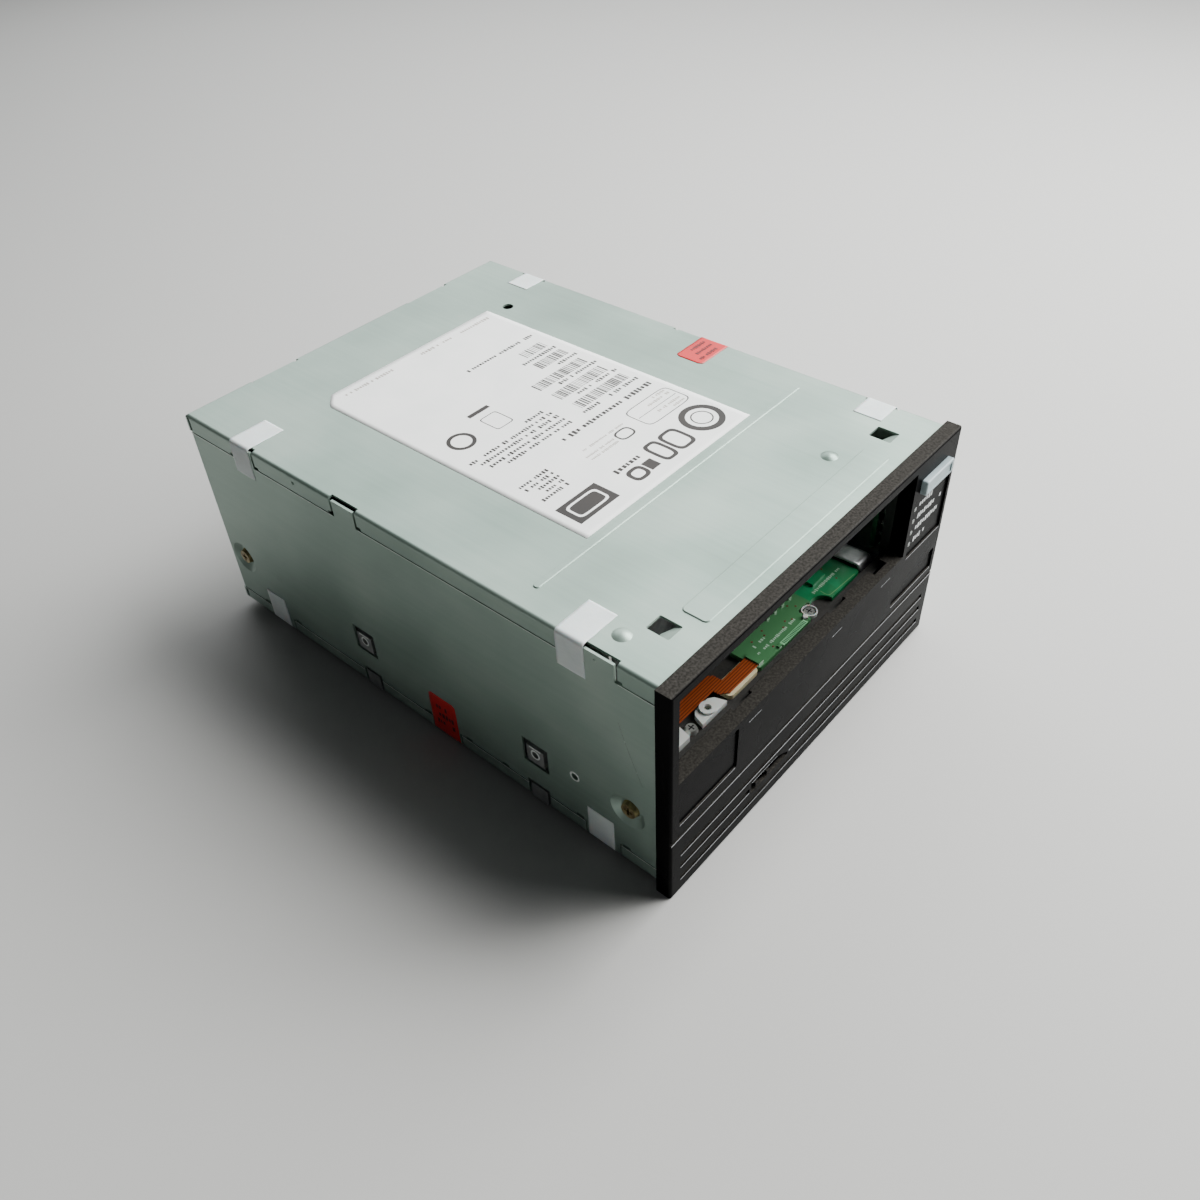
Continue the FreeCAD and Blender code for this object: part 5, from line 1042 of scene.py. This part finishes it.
scratch = np.stack([np.full((2, SCRATCH_POINTS), -half_width - 0.01 * MM),
                    np.stack([scratch_y, scratch_y + SCRATCH_WIDTH]),
                    np.stack([scratch_z, scratch_z])], axis=-1)
piece("wall_scratch", scratch, grid_faces(2, SCRATCH_POINTS)[:, ::-1], scratched_zinc,
      "plated_screw")
specks = [turned_shape([(0.1, 0.03), (size, 0.0)], np.array([x * MM, depth(row), lid_top]),
                       steps=10)
          for x, row, size in ((31.0, 178.0, 0.32), (-4.0, 10.8, 0.3), (2.0, 25.0, 0.22))]
piece("lid_specks", *merged(specks), faint_ink, "component_black")
print(len(right_words) + len(left_words), "seal bars,", len(pips), "pips,", len(specks), "specks")

# %% [markdown]
# ## Cut edges and collars, with painted highlights
#
# Where the plated sheet was cut, its raw edge is bare steel, and these edges catch the light.
# So a thin bright line, a raw edge with a painted highlight, runs along the top of each wall and
# along the top of the tray's folded sides, between the tongues. The tapped collars and the
# casting's pads get bright rings round their holes, partly rubbed metal and partly painted
# highlight.

# %% Painted edge highlights, collars and pads
WALL_TOP, TRAY_TOP, EDGE = 75.66, 5.45, 0.22
PAD_ROWS = (47.4, 126.65)
HOLE = 1.27                           # radius of the collars' and pads' holes
wall_spans = {-1: [(0.4, 12.9), (25.1, 114.6), (126.8, 165.7), (177.9, 202.6)],
              1: [(0.4, 15.3), (27.5, 94.9), (107.1, 171.3), (183.5, 202.6)]}
tray_spans = [(0.4, 14.1), (28.3, 42.8), (52.0, 82.3), (96.5, 122.0), (131.3, 171.5),
              (185.7, 202.6)]
tray_bars = [(front, rear, TRAY_TOP - EDGE, TRAY_TOP) for front, rear in tray_spans]
tray_bars += [(row - 2.4, row + 2.4, 24.1, 24.8) for row in PAD_ROWS]
rim = [(HOLE, -0.3), (HOLE + 0.1, 0.1), (HOLE + 0.4, 0.16), (HOLE + 0.65, 0.0)]
edges, collars = [], []
for side, axis in ((-1, "left"), (1, "right")):
    tops = [(front, rear, WALL_TOP - EDGE, WALL_TOP) for front, rear in wall_spans[side]]
    edges.append(wall_bars(tops + tray_bars, 0.015 * MM, side))
    for row, z in ((31.3, 24.3), (PAD_ROWS[0], 21.84), (PAD_ROWS[1], 21.84)):
        collars.append(turned_shape(rim, on_wall(side, row, z), axis, capped=False))
# Raw edges and collar rims in the bright finish: painted highlights.
piece("raw_edges_painted_highlight", *merged(edges), raw_edge_highlight, "plated_screw")
piece("collar_rings_painted_highlight", *merged(collars), raw_edge_highlight, "plated_screw", smooth=True)
print(len(edges[0][1]), "bright edges on each side and", len(collars), "collars")

# %% [markdown]
# ## Screws of the fan
#
# On the rear panel the fan is held by four screws, one in each corner of its frame, 32 mm apart.
# Their heads are turned shapes about the depth, and their recesses are the same crosses of
# painted shade as before, laid upright.

# %% Screws of the fan
SCREW_OUT = 16                        # millimetres from the fan's centre, each way
HEAD_TOP = 1.02 * MM
fan_low, fan_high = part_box("fan_frame")
fan_centre = (fan_low + fan_high) / 2
heads, cross_shades = [], []
for side_x, side_z in ((-1, -1), (-1, 1), (1, -1), (1, 1)):
    spot = np.array([fan_centre[0] + side_x * SCREW_OUT * MM, rear_edge,
                     fan_centre[2] + side_z * SCREW_OUT * MM])
    heads.append(turned_shape([(0.8, 1.0), (1.9, 0.9), (2.5, 0.5), (2.6, 0.0)], spot, "rear"))
    # Dark crosses on the heads: painted shade in the recesses.
    rows = cross(1.3, 0.24) + np.array([spot[0], spot[0], spot[2], spot[2]]) / MM
    left, right, low, high = rows.T
    cross_shades.append(quads(np.stack([left, left, right, right], axis=-1) * MM, rear_edge + HEAD_TOP,
                         np.stack([low, high, high, low], axis=-1) * MM))
piece("fan_screws", *merged(heads), nickel, "plated_screw", smooth=True)
piece("fan_screw_recess_shades", *merged(cross_shades), chip_epoxy, "component_black")
print(len(heads), "fan screws")

# %% [markdown]
# ## The floor
#
# A plain pale sheet carries the drive. It sits just under the lowest point of the bezel, and it
# is stage dressing: it isn't part of the object, so it is marked as stage.

# %% A plain pale floor
SPAN = 3.0                            # metres from the middle to each side
CLEARANCE = 0.05 * MM
floor_z = cad_box[0][2] - CLEARANCE
floor_mesh = bpy.data.meshes.new("floor")
floor_mesh.from_pydata([(-SPAN, -SPAN, floor_z), (SPAN, -SPAN, floor_z), (SPAN, SPAN, floor_z),
                        (-SPAN, SPAN, floor_z)], [], [(0, 1, 2, 3)])
floor = bpy.data.objects.new("floor", floor_mesh)
floor_paint = bpy.data.materials.new("pale_backdrop")
floor_paint.use_nodes = True
floor_paint.node_tree.nodes.clear()
shader = add(floor_paint.node_tree, "BsdfPrincipled", {"Base Color": linear("#b8b8b5"),
                                                       "Roughness": 0.85})
add(floor_paint.node_tree, "OutputMaterial", {}, {"Surface": shader.outputs["BSDF"]})
floor_mesh.materials.append(floor_paint)
bpy.context.collection.objects.link(floor)
floor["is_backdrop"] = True
print("floor at", round(1000 * floor_z, 2), "mm")

# %% [markdown]
# ## The light
#
# Soft light comes from three large panels, all on the drive's right. One stands high above and
# reaches into the cartridge slot. A low one in front draws a bright line along each ledge of the
# bezel, and a wider one behind lights the rear. So the left wall stays in shade, and a dim world
# light keeps it from going dark.

# %% Soft panels and a dim world
def panel(name, place, target, size, watts, tint):
    """A rectangular area lamp at a place in millimetres, facing a target."""
    data = bpy.data.lights.new(name, "AREA")
    data.shape = "RECTANGLE"
    data.size, data.size_y = size
    data.energy = watts
    data.color = linear(tint)[:3]
    lamp = bpy.data.objects.new(name, data)
    here, there = Vector(place) * MM, Vector(target) * MM
    turn = (there - here).to_track_quat("-Z", "Y").to_matrix().to_4x4()
    lamp.matrix_world = Matrix.Translation(here) @ turn
    bpy.context.collection.objects.link(lamp)


panel("high_panel", (560, -240, 760), (0, 0, 60), (0.7, 0.7), 25.0, "#ffffff")
panel("front_panel", (640, -720, 400), (0, -60, 45), (0.6, 0.5), 8.0, "#ffffff")
panel("rear_panel", (620, 640, 700), (0, 0, 60), (1.2, 1.0), 9.0, "#fbfdff")
world = bpy.data.worlds.new("studio")
world.use_nodes = True
background = world.node_tree.nodes["Background"]
background.inputs["Color"].default_value = linear("#dfe3e8")
background.inputs["Strength"].default_value = 0.07
bpy.context.scene.world = world
print("3 panels and a dim world")

# %% [markdown]
# ## The dressed size
#
# The dressing must stay close to the CAD frame, so the size of the dressed model's box is printed.

# %% Print the dressed size
dressed_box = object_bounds()
growth = [high - low for low, high in zip(*dressed_box)]
print("dressed size", [round(1000 * length, 2) for length in growth], "mm")
